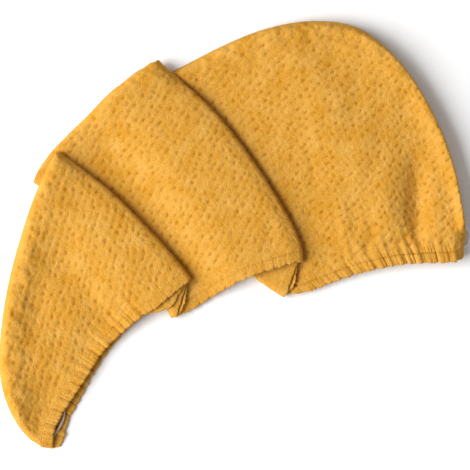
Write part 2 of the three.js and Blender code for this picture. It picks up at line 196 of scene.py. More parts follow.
@dataclass(frozen=True)
class TowelSizes:
    """The sizes that all pieces of the towel share, the same as the solid part's."""

    laid_width: float = 464
    laid_depth: float = 429
    cloth: float = 2.4
    ply_space: float = 0.8
    seam_space: float = 0.4
    head_hollow: float = 11
    middle_hollow: float = 8
    tail_hollow: float = 7.5
    head_mouth: float = 8
    middle_mouth: float = 6.5
    end_slope: float = 12
    mouth_slope: float = 45
    drape: float = 58
    hem_width: float = 11
    hem_join: float = 1.0
    hem_swell: float = 1.2
    ruffle_rise: float = 1.0
    under_reach: float = 8
    upper_reach: float = 5.5
    button_diameter: float = 21
    button_thickness: float = 3.5
    button_rim: float = 2
    button_dish: float = 0.7
    button_slope: float = 34
    loop_cord: float = 2.2

    @property
    def ply(self) -> float:
        """Height of one wall and the space above it."""
        return self.cloth + self.ply_space

    @property
    def outer_turn(self) -> float:
        """Radius of the outer of two walls that turn together."""
        return 1.5 * self.ply

    @property
    def inner_turn(self) -> float:
        """Radius of the inner of two walls that turn together."""
        return 0.5 * self.ply

    @property
    def fold_radius(self) -> float:
        """How far a fold's outer face stands from its axis."""
        return self.outer_turn + self.cloth / 2

    @property
    def tail_mouth(self) -> float:
        """Room in the tail's mouth for the hem's swell and the loop."""
        return self.hem_swell + self.ruffle_rise + self.loop_cord + 2 * self.seam_space

    @property
    def lowest(self) -> float:
        """Height of the middle of a wall that lies on the floor."""
        return self.cloth / 2

    def place(self, spots: tuple[Spot, ...]) -> Array:
        """Plan points of a row of spots.

        Args:
            spots: Places in shares of the laid sizes.

        Returns:
            One row of x and y for each spot.
        """
        return np.array([(s.x * self.laid_width, s.y * self.laid_depth) for s in spots])


SIZES = TowelSizes()


def smoothstep(value: Array, low: float, high: float) -> Array:
    """Smooth share of the way from low to high, held at 0 and 1 outside."""
    share = np.clip((value - low) / (high - low), 0.0, 1.0)
    return share * share * (3.0 - 2.0 * share)


def lerp(a: Array, b: Array, share: Array) -> Array:
    """Straight mix of a and b."""
    return a + (b - a) * share


def puff(distance: Array, slope: float) -> Array:
    """A quarter round from nothing at a seam to the full height where the slope ends."""
    return np.sin(0.5 * np.pi * np.clip(distance / slope, 0.0, 1.0))


def quarter_round(share: Array) -> Array:
    """A quarter circle from nothing to the full height over shares from 0 to 1."""
    return np.sqrt(1 - (1 - np.clip(share, 0, 1)) ** 2)


class Route:
    """A smooth curve through chosen points, with centripetal spacing."""

    def __init__(self, points: Array) -> None:
        """Prepares the curve.

        Args:
            points: One row for each chosen point.
        """
        ends = (2 * points[:1] - points[1:2], 2 * points[-1:] - points[-2:-1])
        self.points = np.vstack((ends[0], points, ends[1]))
        self.steps = np.sqrt(np.linalg.norm(np.diff(self.points, axis=0), axis=1))[:, None]
        self.shares = np.linspace(0.0, 1.0, 40 * len(points))
        runs = np.linalg.norm(np.diff(self.at(self.shares), axis=0), axis=1)
        self.runs = np.concatenate(([0.0], np.cumsum(runs)))

    @property
    def length(self) -> float:
        """Length of the whole curve."""
        return float(self.runs[-1])

    def at(self, shares: Array) -> Array:
        """Points at shares of the way through the chosen points.

        Args:
            shares: Values from 0 to 1.

        Returns:
            One point for each share.
        """
        spans = len(self.points) - 3
        reach = np.clip(shares, 0.0, 1.0) * spans
        i = np.minimum(reach.astype(int), spans - 1)
        w = (reach - i)[:, None]
        p0, p1, p2, p3 = (self.points[i + k] for k in range(4))
        d0, d1, d2 = (self.steps[i + k] for k in range(3))
        t1 = ((p1 - p0) / d0 - (p2 - p0) / (d0 + d1) + (p2 - p1) / d1) * d1
        t2 = ((p2 - p1) / d1 - (p3 - p1) / (d1 + d2) + (p3 - p2) / d2) * d1
        square = (3 * (p2 - p1) - 2 * t1 - t2) * w**2
        cube = (2 * (p1 - p2) + t1 + t2) * w**3
        return p1 + t1 * w + square + cube

    def along(self, shares: Array) -> Array:
        """Points at shares of the curve's length."""
        return self.at(np.interp(shares * self.length, self.runs, self.shares))

    def beside(self, shift: float, shares: Array) -> Array:
        """Plan points at shares of the length, moved sideways towards the head end.

        Args:
            shift: How far to move, negative towards the tail.
            shares: Shares of the curve's length.

        Returns:
            One point for each share.
        """
        small = 1e-3
        run = self.along(np.clip(shares + small, 0, 1)) - self.along(np.clip(shares - small, 0, 1))
        run /= np.linalg.norm(run, axis=1)[:, None]
        return self.along(shares) + shift * np.column_stack((run[:, 1], -run[:, 0]))


def headward_of(line: Array, points: Array) -> Array:
    """Distance of points from a line, positive on its head side.

    Args:
        line: The line's points, the crown's end first.
        points: The plan points to measure.

    Returns:
        One signed distance for each point.
    """
    nearest = np.full(len(points), np.inf)
    signed = np.zeros(len(points))
    for start, run in zip(line[:-1], np.diff(line, axis=0)):
        offset = points - start
        share = np.clip(offset @ run / (run @ run), 0.0, 1.0)
        gap = offset - share[:, None] * run
        distance = np.hypot(gap[:, 0], gap[:, 1])
        side = np.where(run[0] * gap[:, 1] - run[1] * gap[:, 0] < 0, -1.0, 1.0)
        closer = distance < nearest
        nearest = np.where(closer, distance, nearest)
        signed = np.where(closer, distance * side, signed)
    return signed


class Unevenness:
    """A smooth random field made of plane waves, the same on every run."""

    def __init__(self, seed: int, shortest: float, longest: float, waves: int = 14) -> None:
        """Draws the waves.

        Args:
            seed: The seed of the draws.
            shortest: The shortest wave's length.
            longest: The longest wave's length.
            waves: How many waves are added up.
        """
        draw = np.random.default_rng(seed)
        bearing = draw.uniform(0, 2 * np.pi, waves)
        number = 2 * np.pi / draw.uniform(shortest, longest, waves)
        self.numbers = np.column_stack((np.cos(bearing) * number, np.sin(bearing) * number))
        self.phases = draw.uniform(0, 2 * np.pi, waves)

    def at(self, points: Array) -> Array:
        """Values of about -1 to 1 at plan points."""
        waves = np.cos(points @ self.numbers.T + self.phases)
        return waves.sum(axis=1) / math.sqrt(2 * len(self.phases))


WARP_FIELDS = (Unevenness(seed=11, shortest=14, longest=48), Unevenness(seed=12, shortest=14, longest=48))
TUFT_FIELD = Unevenness(seed=13, shortest=4.5, longest=11, waves=36)
SLOW_FIELD = Unevenness(seed=3, shortest=26, longest=80)
LOOP_FIELD = Unevenness(seed=7, shortest=3.0, longest=6.5, waves=30)
PUCKER_FIELD = Unevenness(seed=5, shortest=2.1, longest=7)


@dataclass(frozen=True)
class Gathers:
    """The puckers that the hem's elastic draws: round puffs with sharp creases between them."""

    pitch: float = 10.5
    wander: float = 0.3
    sharpness: float = 0.8
    reach: float = 15.0
    drift: float = 0.02
    fine_share: float = 0.45
    fine_turns: float = 2.3
    fine_reach: float = 9.0

    def across(self, run: Array, seed: float) -> Array:
        """A slow random value of about -1 to 1 that belongs to a place along the hem."""
        return PUCKER_FIELD.at(np.column_stack((run, np.full(len(run), seed))))

    def strength(self, run: Array) -> Array:
        """How strongly the elastic draws the cloth up, from about 0.35 to 1.25."""
        return 0.8 + 0.45 * np.clip(self.across(run, 4.0), -1, 1)

    def crest(self, run: Array, distance: Array) -> Array:
        """Rise share of the puffs: 1 on a crest and 0 in a crease.

        Args:
            run: Place along the hem, counted in puffs.
            distance: Distance from the hem's stitching into the cloth.

        Returns:
            One share for each place.
        """
        turn = self.wander * self.across(run, 0.0) + self.drift * distance * self.across(run, 9.0)
        wave = np.abs(np.cos(np.pi * (run + turn)))
        soft = smoothstep(distance, 2.0, self.reach)
        large = lerp(wave**self.sharpness, wave**2, soft)
        fine = np.abs(np.cos(np.pi * (self.fine_turns * run + 0.9 * self.across(1.7 * run, 23.0))))
        share = self.fine_share * np.exp(-((distance / self.fine_reach) ** 2))
        return lerp(large, fine**0.8, share)

    def fade(self, run: Array, distance: Array) -> Array:
        """How much of the puckers is left at a distance from the stitching."""
        reach = self.reach * np.maximum(0.45, 1.0 + 0.75 * self.across(run * 0.6, 17.0))
        return np.exp(-((distance / reach) ** 1.2))


@dataclass(frozen=True)
class DimpleWeave:
    """The woven pattern: rows of narrow dimples between small raised blocks."""

    pitch_along: float = 14.5
    pitch_across: float = 8.8
    deep: float = 0.9
    weak_share: float = 0.85
    slit_width: float = 1.45
    slit_length: float = 1.6
    lean: float = 0.6
    groove: float = 0.16
    stray: float = 0.16
    warp: float = 1.8
    tufts: float = 0.3
    uneven: float = 0.6
    mix: tuple[float, float] = (127.1, 311.7)
    stretch: float = 43758.5453

    def scatter(self, cells: Array, salt: float) -> Array:
        """A fixed scatter of about -1 to 1 for whole-numbered cells.

        Args:
            cells: Rows of two whole numbers.
            salt: A number that sets one scatter apart from another.

        Returns:
            One value for each cell.
        """
        wave = np.sin(cells @ np.array(self.mix) + salt) * self.stretch
        return 2.0 * (wave - np.floor(wave)) - 1.0

    def slit(self, offset: Array, cells: Array) -> Array:
        """Depth share of the dimples that lie at the cells' middles.

        Args:
            offset: Place from the cell's middle, in shares of the pitches.
            cells: The cells' whole numbers.

        Returns:
            1 in the middle of a dimple, falling to 0 around it.
        """
        x = (offset[:, 0] + self.stray * self.scatter(cells, 1.0)) * self.pitch_along
        y = (offset[:, 1] + self.stray * self.scatter(cells, 2.0)) * self.pitch_across
        x = x - self.lean * y
        size = 1.0 + self.uneven * self.scatter(cells, 3.0)
        return size * np.exp(-((x / self.slit_width) ** 2) - (y / self.slit_length) ** 2)

    def depth(self, weave: Array) -> Array:
        """Depth of the pattern below its highest blocks.

        Args:
            weave: Places in the cloth's own directions, along and across its rows.

        Returns:
            One depth for each place, 0 or more.
        """
        drift = np.column_stack([field.at(weave) for field in WARP_FIELDS])
        share = (weave + self.warp * drift) / np.array((self.pitch_along, self.pitch_across))
        cells = np.round(share)
        between = np.round(share - 0.5)
        deep = self.slit(share - cells, cells)
        weak = self.slit(share - 0.5 - between, between + 0.5)
        rows = 0.5 + 0.5 * np.cos(2 * np.pi * (share[:, 0] - share[:, 1]))
        tufts = self.tufts * (1 + np.clip(TUFT_FIELD.at(weave), -1, 1)) / 2
        return self.deep * (deep + self.weak_share * weak) + self.groove * rows + tufts


GATHERS = Gathers()


class Pleat:
    """A knife pleat: the cloth turns back at the mountain edge and on at the valley edge."""

    def __init__(self, mountain: tuple[Spot, ...], valley: tuple[Spot, ...]) -> None:
        """Works out the lines that the cloth follows.

        Args:
            mountain: The edge that shows, hem end first.
            valley: The edge that is tucked in, hem end first.
        """
        self.mountain = Route(SIZES.place(mountain))
        self.valley = Route(SIZES.place(valley))
        self.mountain_axis = self.mountain.beside(-SIZES.fold_radius, RIB_SHARES)
        self.valley_axis = self.valley.beside(SIZES.fold_radius, RIB_SHARES)
        even = np.linspace(1.0, 0.0, 49)
        hem_end = self.valley.along(np.zeros(1))
        self.cover = np.vstack((self.mountain.along(even), hem_end))
        self.tuck = self.valley.along(even)

    @property
    def depth(self) -> float:
        """Distance between the two edges at the hem."""
        return float(np.linalg.norm(self.mountain.points[1] - self.valley.points[1]))


@dataclass
class Panel:
    """A stretch of the pouch between two side lines that shows from above."""

    ribs: tuple[Rib, ...]
    tail_side: Array
    head_side: Array
    before: Pleat | None
    after: Pleat | None
    hollow: float
    mouth: float
    grain: float
    ruffle: float
    lip: float = 0.12
    lip_run: float = 10.0
    rise_start: float = 18.0
    rise_run: float = 105.0
    crown_slope: float = 10.0
    far_crown_slope: float = 6.0
    fold_round: float = 10.0
    on_pleat: float = 0.25
    weave_shift: Array = field(default_factory=lambda: np.zeros(2))

    def __post_init__(self) -> None:
        """Lays the hem and crown curves through the ribs' ends."""
        hem = SIZES.place(tuple(Spot(rib.hem_x, rib.hem_y) for rib in self.ribs))
        crown = SIZES.place(tuple(Spot(rib.crown_x, rib.crown_y) for rib in self.ribs))
        if self.before:
            hem = np.vstack((self.tail_side[:1], hem))
            crown = np.vstack((self.tail_side[-1:], crown))
        if self.after:
            hem = np.vstack((hem, self.head_side[:1]))
            crown = np.vstack((crown, self.head_side[-1:]))
        self.hem = Route(hem)
        self.crown = Route(crown)
        sewn = self.head_side if self.before else self.tail_side
        self.sewn_end = None if self.before and self.after else sewn[::-48]
        stand_out = [rib.under for rib in self.ribs] + ([0.0] if self.after else [])
        self.stand_out = np.array(stand_out)

    def rib(self, across: float) -> Array:
        """Plan points of a rib, bent as the panel's side lines bend.

        Args:
            across: Share of the way across the panel.

        Returns:
            One point for each of the rib shares.
        """
        share = RIB_SHARES[:, None]
        at = np.array([across])

        def bend(side: Array) -> Array:
            """How far a side line stands off its chord."""
            return side - lerp(side[0], side[-1], share)

        straight = lerp(self.hem.at(at), self.crown.at(at), share)
        return straight + bend(self.tail_side) * (1 - across) + bend(self.head_side) * across

    def looseness(self, points: Array) -> Array:
        """How much of its full hollow the panel has: none under or at a pleat."""
        loose = np.ones(len(points))
        if self.before:
            beyond = headward_of(self.before.cover, points)
            rise = smoothstep(beyond, self.rise_start, self.rise_run)
            loose *= puff(beyond, self.lip_run) * lerp(self.lip, 1.0, rise)
        if self.after:
            inside = -headward_of(self.after.cover, points) - SIZES.fold_radius
            settled = smoothstep(-headward_of(self.after.tuck, points), 0, SIZES.drape)
            loose *= puff(inside, self.fold_round) * lerp(self.on_pleat, 1.0, settled)
        return loose

    def end_puff(self, points: Array) -> Array:
        """How far the mouth is open near the end where the halves are sewn together."""
        if self.sewn_end is None:
            return np.ones(len(points))
        return puff(np.abs(headward_of(self.sewn_end, points)), SIZES.end_slope)

    def under_height(self, points: Array) -> Array:
        """Height of the under half's middle: on the floor, or up over the next pleat."""
        if self.after:
            beyond = -headward_of(self.after.tuck, points)
            return SIZES.lowest + 4 * SIZES.ply * (1 - smoothstep(beyond, 0, SIZES.drape))
        centre = SIZES.place((BUTTON_PLACE,))[0]
        distance = np.linalg.norm(points - centre, axis=1)
        plateau = SIZES.button_diameter
        share = 1 - smoothstep(distance, plateau, plateau + SIZES.button_slope)
        return SIZES.lowest + share * (SIZES.button_thickness + SIZES.seam_space)

    def spread(self, points: Array, to_hem: Array, to_crown: Array) -> Array:
        """Distance between the middles of the two halves.

        Args:
            points: Plan points.
            to_hem: Their distance from the hem line.
            to_crown: Their distance from the crown seam.

        Returns:
            One distance for each point.
        """
        full = lerp(self.mouth, self.hollow, smoothstep(to_hem, 0, SIZES.mouth_slope))
        dent = SIZES.head_hollow * dent_rise(DENTS, points)
        full = full + dent * smoothstep(to_hem, 0, SIZES.hem_width)
        slope = lerp(self.crown_slope, self.far_crown_slope, far_share(points))
        opened = np.minimum(puff(to_crown, slope), self.end_puff(points))
        space = lerp(SIZES.seam_space, full, opened)
        return SIZES.cloth + lerp(SIZES.ply_space, space, self.looseness(points))

    def weave_at(self, points: Array) -> Array:
        """Places in the cloth's own directions, along and across the woven rows."""
        turn = math.radians(self.grain)
        along = np.array((math.cos(turn), math.sin(turn)))
        across = np.array((-along[1], along[0]))
        return np.column_stack((points @ along, points @ across)) + self.weave_shift


def far_share(points: Array, start: float = 0.72, end: float = 0.9) -> Array:
    """Share of the head end's steeper edge at plan points, from its start to its end."""
    return smoothstep(points[:, 0] / SIZES.laid_width, start, end)


def dent_rise(dents: tuple[Dent, ...], points: Array) -> Array:
    """Sum of the rises of soft dents at plan points.

    Args:
        dents: The dents.
        points: The plan points.

    Returns:
        One rise for each point, in the unit of the dents' own rise.
    """
    total = np.zeros(len(points))
    for dent in dents:
        offset = points - SIZES.place((Spot(dent.x, dent.y),))[0]
        turn = math.radians(dent.bearing)
        along = offset[:, 0] * math.cos(turn) + offset[:, 1] * math.sin(turn)
        aside = offset[:, 1] * math.cos(turn) - offset[:, 0] * math.sin(turn)
        along /= dent.length * SIZES.laid_width
        aside /= dent.width * SIZES.laid_depth
        total += dent.rise * np.exp(-(along**2) - aside**2)
    return total


@dataclass
class Column:
    """One line of the cloth from the hem to the crown, in plan and in the weave."""

    plan: Array
    weave: Array
    panel: Panel | None = None
    level: float = 0.0
    reach: float = 0.0
    run: float = 0.0

    def __post_init__(self) -> None:
        """Measures the line."""
        self.measure()

    def measure(self) -> None:
        """Measures the line from its hem end."""
        runs = np.linalg.norm(np.diff(self.plan, axis=0), axis=1)
        self.runs = np.concatenate(([0.0], np.cumsum(runs)))

    @property
    def length(self) -> float:
        """Length of the line from the hem to the crown."""
        return float(self.runs[-1])

    def at(self, distances: Array) -> tuple[Array, Array]:
        """Plan points and weave places at distances from the line's hem end.

        Args:
            distances: Distances, negative where the cloth stands out past the line.

        Returns:
            The plan points and the weave places.
        """
        out = np.minimum(distances, 0.0)[:, None] / self.runs[1]
        results = []
        for rows in (self.plan, self.weave):
            inside = [np.interp(distances, self.runs, rows[:, k]) for k in range(2)]
            results.append(np.column_stack(inside) + out * (rows[1] - rows[0]))
        return results[0], results[1]


class Nudge(NamedTuple):
    """A small push of the cloth in plan: its place in shares, its reach and its push in mm."""

    x: float
    y: float
    reach: float
    push_x: float
    push_y: float


# Pushes of what lies under the tail, and pushes of all panels
CROWN_LOBE = (
    Nudge(0.078, 0.628, 13.0, -1.0, -6.0),
    Nudge(0.084, 0.652, 9.0, -2.6, 0.6),
)
EDGE_NUDGES = (
    Nudge(0.263, 0.866, 14.0, 1.2, -1.6),
    Nudge(0.323, 0.903, 5.5, -1.6, 2.2),
    Nudge(0.086, 0.006, 8.0, 1.4, 2.0),
    Nudge(0.116, 0.003, 6.0, 0.0, -1.6),
    Nudge(0.343, 0.322, 8.0, 0.0, -3.0),
    Nudge(0.629, 0.362, 7.0, 0.0, -1.6),
    Nudge(0.972, 0.437, 14.0, 0.0, -1.8),
    Nudge(0.998, 0.47, 9.0, -1.6, 0.0),
)


def nudged(nudges: tuple[Nudge, ...], points: Array) -> Array:
    """Plan points after small pushes.

    Args:
        nudges: The pushes.
        points: The plan points.

    Returns:
        The points, moved.
    """
    moved = points.copy()
    for nudge in nudges:
        offset = points - SIZES.place((Spot(nudge.x, nudge.y),))[0]
        weight = np.exp(-(offset**2).sum(axis=1) / nudge.reach**2)
        moved += weight[:, None] * np.array((nudge.push_x, nudge.push_y))
    return moved


class Layout:
    """The folded pouch: its panels and pleats, and the columns that its cloth follows."""

    under_tuck = 2.6
    tuck_start = 0.2
    tuck_end = 0.1

    def __init__(self) -> None:
        """Sets out the panels from the tail to the head."""
        self.tail_pleat = Pleat(TAIL_MOUNTAIN, TAIL_VALLEY)
        self.head_pleat = Pleat(HEAD_MOUNTAIN, HEAD_VALLEY)
        self.tail = Panel(
            TAIL_RIBS, self.end_line(TAIL_RIBS[0]), self.tail_pleat.mountain_axis,
            before=None, after=self.tail_pleat, hollow=SIZES.tail_hollow,
            mouth=SIZES.tail_mouth, grain=42.5, ruffle=0.85,
        )
        self.middle = Panel(
            MIDDLE_RIBS, self.tail_pleat.valley_axis, self.head_pleat.mountain_axis,
            before=self.tail_pleat, after=self.head_pleat, hollow=SIZES.middle_hollow,
            mouth=SIZES.middle_mouth, grain=27.0, ruffle=1.4,
        )
        self.head = Panel(
            HEAD_RIBS, self.head_pleat.valley_axis, self.end_line(HEAD_RIBS[-1]),
            before=self.head_pleat, after=None, hollow=SIZES.head_hollow,
            mouth=SIZES.head_mouth, grain=15.0, ruffle=1.3, lip=0.3,
        )
        self.carry_weave(self.tail, self.tail_pleat, self.middle)
        self.carry_weave(self.middle, self.head_pleat, self.head)

    @property
    def panels(self) -> tuple[Panel, Panel, Panel]:
        """The panels from the tail to the head."""
        return self.tail, self.middle, self.head

    def owners(self, columns: list[Column]) -> list[tuple[Panel, Array]]:
        """Each panel with a mask of the columns that are its own."""
        return [(panel, np.array([c.panel is panel for c in columns])) for panel in self.panels]

    def end_line(self, rib: Rib) -> Array:
        """The straight line along which the halves are sewn together at an end."""
        ends = SIZES.place((Spot(rib.hem_x, rib.hem_y), Spot(rib.crown_x, rib.crown_y)))
        return lerp(ends[0], ends[1], RIB_SHARES[:, None])

    def carry_weave(self, before: Panel, pleat: Pleat, after: Panel) -> None:
        """Shifts the next panel's weave so that it runs on through the pleat.

        Args:
            before: The panel on top of the pleat.
            pleat: The pleat.
            after: The panel below it.
        """
        middle = len(RIB_SHARES) // 2
        start, end = pleat.mountain_axis[middle], pleat.valley_axis[middle]
        back = start - end
        turned = 1 + np.pi * (SIZES.outer_turn + SIZES.inner_turn) / np.linalg.norm(back)
        goal = before.weave_at((start + turned * back)[None])
        after.weave_shift = (goal - after.weave_at(end[None]))[0]

    def panel_columns(self, side: Side, panel: Panel, stride: float, by_crown: float) -> list[Column]:
        """Columns across a panel at even steps.

        Args:
            side: Which half they belong to.
            panel: The panel.
            stride: The step between columns.
            by_crown: How much the step is measured at the crown, the rest being at the hem.

        Returns:
            The columns from the tail side to the head side.
        """
        grid = np.linspace(0.0, 1.0, 401)
        hem = np.linalg.norm(np.diff(panel.hem.at(grid), axis=0), axis=1)
        crown = np.linalg.norm(np.diff(panel.crown.at(grid), axis=0), axis=1)
        runs = np.concatenate(([0.0], np.cumsum(lerp(hem, crown, by_crown))))
        count = math.ceil(runs[-1] / stride)
        columns = []
        for across in np.interp(np.linspace(0, runs[-1], count + 1), runs, grid):
            plan = panel.rib(float(across))
            reach = self.under_reach(panel, float(across)) if side is Side.UNDER else 0.0
            columns.append(Column(plan, panel.weave_at(plan), panel, reach=reach))
        return columns

    def under_reach(self, panel: Panel, across: float) -> float:
        """How far the under hem stands out past the upper one, negative where it is tucked in."""
        known = np.arange(len(panel.stand_out))
        out = float(np.interp(across * known[-1], known, panel.stand_out))
        tuck = float(puff(across, self.tuck_start) * puff(1 - across, self.tuck_end))
        return SIZES.under_reach * out - self.under_tuck * (1 - out) * tuck

    def pleat_columns(self, side: Side, pleat: Pleat, stride: float) -> list[Column]:
        """Columns round a pleat's mountain turn, back, and round its valley turn.

        Args:
            side: Which half they belong to.
            pleat: The pleat.
            stride: The step between columns of the stretch that lies flat.

        Returns:
            The columns in the order in which the cloth runs.
        """
        upper = side is Side.UPPER
        before, after = (self.tail, self.middle) if pleat is self.tail_pleat else (self.middle, self.head)
        first = before.weave_at(pleat.mountain_axis)
        last = after.weave_at(pleat.valley_axis)
        radii = (SIZES.outer_turn, SIZES.inner_turn) if upper else (SIZES.inner_turn, SIZES.outer_turn)
        turns = [max(8, math.ceil(np.pi * radius / stride)) for radius in radii]
        level = SIZES.lowest + (2 if upper else 3) * SIZES.ply
        total = np.pi * sum(radii) + pleat.depth
        columns = []
        run = 0.0

        def add(plan: Array, height: float, run: float, reach: float = 0.0) -> None:
            """Adds a column at a distance round the pleat."""
            weave = lerp(first, last, run / total)
            columns.append(Column(plan, weave, None, height, reach))

        for step in range(1, turns[0]):
            angle = np.pi * (0.5 - step / turns[0])
            shift = radii[0] * math.cos(angle) - SIZES.fold_radius
            height = SIZES.lowest + 3.5 * SIZES.ply + radii[0] * math.sin(angle)
            run = np.pi * radii[0] * step / turns[0]
            add(pleat.mountain.beside(shift, RIB_SHARES), height, run)
        flat_start = np.pi * radii[0]
        count = max(4, math.ceil(pleat.depth / stride))
        for step in range(count + 1):
            across = step / count
            plan = lerp(pleat.mountain_axis, pleat.valley_axis, across)
            reach = SIZES.upper_reach * math.sin(math.pi * across) if upper else 0.0
            add(plan, level, flat_start + pleat.depth * across, reach)
        for step in range(1, turns[1]):
            angle = np.pi * (0.5 - step / turns[1])
            shift = SIZES.fold_radius - radii[1] * math.cos(angle)
            height = SIZES.lowest + 1.5 * SIZES.ply + radii[1] * math.sin(angle)
            run = flat_start + pleat.depth + np.pi * radii[1] * step / turns[1]
            add(pleat.valley.beside(shift, RIB_SHARES), height, run)
        return columns

    def columns(self, side: Side, stride: float, by_crown: float, hidden: float) -> list[Column]:
        """All columns of one half, from the tail tip to the head end.

        Args:
            side: The half.
            stride: The step between columns in the panels.
            by_crown: How much the step is measured at the crown.
            hidden: The step between columns in the pleats.

        Returns:
            The columns, each with its run along the hem.
        """
        rows = [
            *self.panel_columns(side, self.tail, stride, by_crown),
            *self.pleat_columns(side, self.tail_pleat, hidden),
            *self.panel_columns(side, self.middle, stride, by_crown),
            *self.pleat_columns(side, self.head_pleat, hidden),
            *self.panel_columns(side, self.head, stride, by_crown),
        ]
        for row in rows:
            pushes = EDGE_NUDGES if row.panel is self.tail else CROWN_LOBE + EDGE_NUDGES
            row.plan = nudged(pushes, row.plan)
            row.measure()
        for before, after in zip(rows[:-1], rows[1:]):
            step = float(np.linalg.norm(after.plan[0] - before.plan[0]))
            after.run = before.run + step / GATHERS.pitch
        return rows


class Skin:
    """Places on one side of the cloth, and the triangles between them."""

    def __init__(self, columns: list[Column], distances: list[Array]) -> None:
        """Collects the places of all columns and joins neighbouring columns.

        Args:
            columns: The columns.
            distances: For each column, the distances of its places from the hem.
        """
        self.columns = columns
        counts = np.array([len(row) for row in distances])
        self.starts = np.concatenate(([0], np.cumsum(counts)))
        self.owner = np.repeat(np.arange(len(columns)), counts)
        self.to_hem = np.concatenate(distances)
        lengths = np.array([column.length for column in columns])
        self.to_crown = lengths[self.owner] - self.to_hem
        places = [column.at(row) for column, row in zip(columns, distances)]
        self.plan = np.vstack([place[0] for place in places])
        self.weave = np.vstack([place[1] for place in places])
        self.run = np.array([column.run for column in columns])[self.owner]
        strips = []
        for i in range(len(columns) - 1):
            here = np.arange(self.starts[i], self.starts[i + 1])
            there = np.arange(self.starts[i + 1], self.starts[i + 2])
            strips.append(zipper(here, there))
        self.triangles = np.vstack(strips)

    def sides(self) -> list[Array]:
        """The four edges in order round the cloth: hem, head end, crown, tail end."""
        first = np.arange(self.starts[0], self.starts[1])
        last = np.arange(self.starts[-2], self.starts[-1])
        return [self.starts[:-1], last, (self.starts[1:] - 1)[::-1], first[::-1]]


def zipper(here: Array, there: Array) -> Array:
    """Triangles between two rows of vertices that may differ in number.

    Args:
        here: The first row's vertex numbers.
        there: The second row's, running the same way.

    Returns:
        Triangles that face the way the two rows turn: first row, then second row.
    """
    a = np.linspace(0.0, 1.0, len(here))[1:]
    b = np.linspace(0.0, 1.0, len(there))[1:]
    order = np.concatenate((a, b))
    second = np.concatenate((np.zeros(len(a), bool), np.ones(len(b), bool)))
    sequence = second[np.lexsort((second, np.round(order, 9)))]
    j = np.cumsum(sequence) - sequence
    i = np.cumsum(~sequence) - ~sequence
    step_here = np.column_stack((here[i], there[j], here[np.minimum(i + 1, len(here) - 1)]))
    step_there = np.column_stack((here[i], there[j], there[np.minimum(j + 1, len(there) - 1)]))
    return np.where(sequence[:, None], step_there, step_here)


def vertex_normals(points: Array, triangles: Array) -> Array:
    """Unit normals of a surface at its vertices.

    Args:
        points: The vertices.
        triangles: The triangles.

    Returns:
        One normal for each vertex.
    """
    a, b, c = (points[triangles[:, k]] for k in range(3))
    faces = np.cross(b - a, c - a)
    normals = np.zeros_like(points)
    for k in range(3):
        np.add.at(normals, triangles[:, k], faces)
    return normals / np.maximum(np.linalg.norm(normals, axis=1), 1e-9)[:, None]


def make_piece(name: str, points: Array, triangles: Array, marks: dict[str, Array]) -> bpy.types.Object:
    """A mesh object from places in plan millimetres.

    Args:
        name: The piece's name.
        points: The vertices, from the towel's own corner.
        triangles: The triangles.
        marks: Values for each vertex, kept as attributes, with "weave" kept as a UV map.

    Returns:
        The object, linked to the scene.
    """
    mesh = bpy.data.meshes.new(name)
    places = (points + ORIGIN_SHIFT) * METRES
    mesh.from_pydata(places.tolist(), [], triangles.tolist())
    mesh.polygons.foreach_set("use_smooth", np.ones(len(mesh.polygons), bool))
    corners = np.empty(len(mesh.loops), np.int32)
    mesh.loops.foreach_get("vertex_index", corners)
    for mark, values in marks.items():
        if mark == "weave":
            layer = mesh.uv_layers.new(name=mark)
            layer.data.foreach_set("uv", (values[corners] * METRES).astype(np.float32).ravel())
        else:
            layer = mesh.attributes.new(mark, "FLOAT", "POINT")
            layer.data.foreach_set("value", values.astype(np.float32))
    mesh.update()
    piece = bpy.data.objects.new(name, mesh)
    bpy.context.scene.collection.objects.link(piece)
    log.info("%s: %d triangles", name, len(triangles))
    return piece


def origin_shift() -> Array:
    """How far the towel's own corner is from the part's origin, read at the button."""
    low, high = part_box("button")
    centre = (low + high) / 2
    place = SIZES.place((BUTTON_PLACE,))[0]
    return np.array((centre.x / METRES - place[0], centre.y / METRES - place[1], 0.0))


ORIGIN_SHIFT = origin_shift()


EDGE_FIELD = Unevenness(seed=21, shortest=8, longest=22)

# Small wrinkles of the upper half, with the rise in millimetres
WRINKLES = (
    Dent(0.898, 0.572, 0.12, 0.026, 92, -4.0),
    Dent(0.85, 0.48, 0.03, 0.014, 20, -1.6),
    Dent(0.797, 0.488, 0.035, 0.01, 80, -1.5),
    Dent(0.774, 0.498, 0.04, 0.01, 85, 1.1),
    Dent(0.743, 0.516, 0.04, 0.012, 95, 1.0),
    Dent(0.737, 0.53, 0.06, 0.016, 100, 1.6),
    Dent(0.677, 0.5, 0.09, 0.035, 110, -3.0),
    Dent(0.672, 0.656, 0.05, 0.01, 95, -0.9),
    Dent(0.58, 0.498, 0.045, 0.012, 85, -1.6),
    Dent(0.55, 0.46, 0.05, 0.018, 85, 2.0),
    Dent(0.537, 0.663, 0.06, 0.03, -60, -0.9),
    Dent(0.455, 0.437, 0.05, 0.012, -35, -1.4),
    Dent(0.476, 0.451, 0.05, 0.012, -35, 1.2),
    Dent(0.149, 0.633, 0.05, 0.035, 45, -1.5),
    Dent(0.445, 0.825, 0.07, 0.035, -60, -4.5),
    Dent(0.16, 0.69, 0.04, 0.03, -45, -1.5),
)


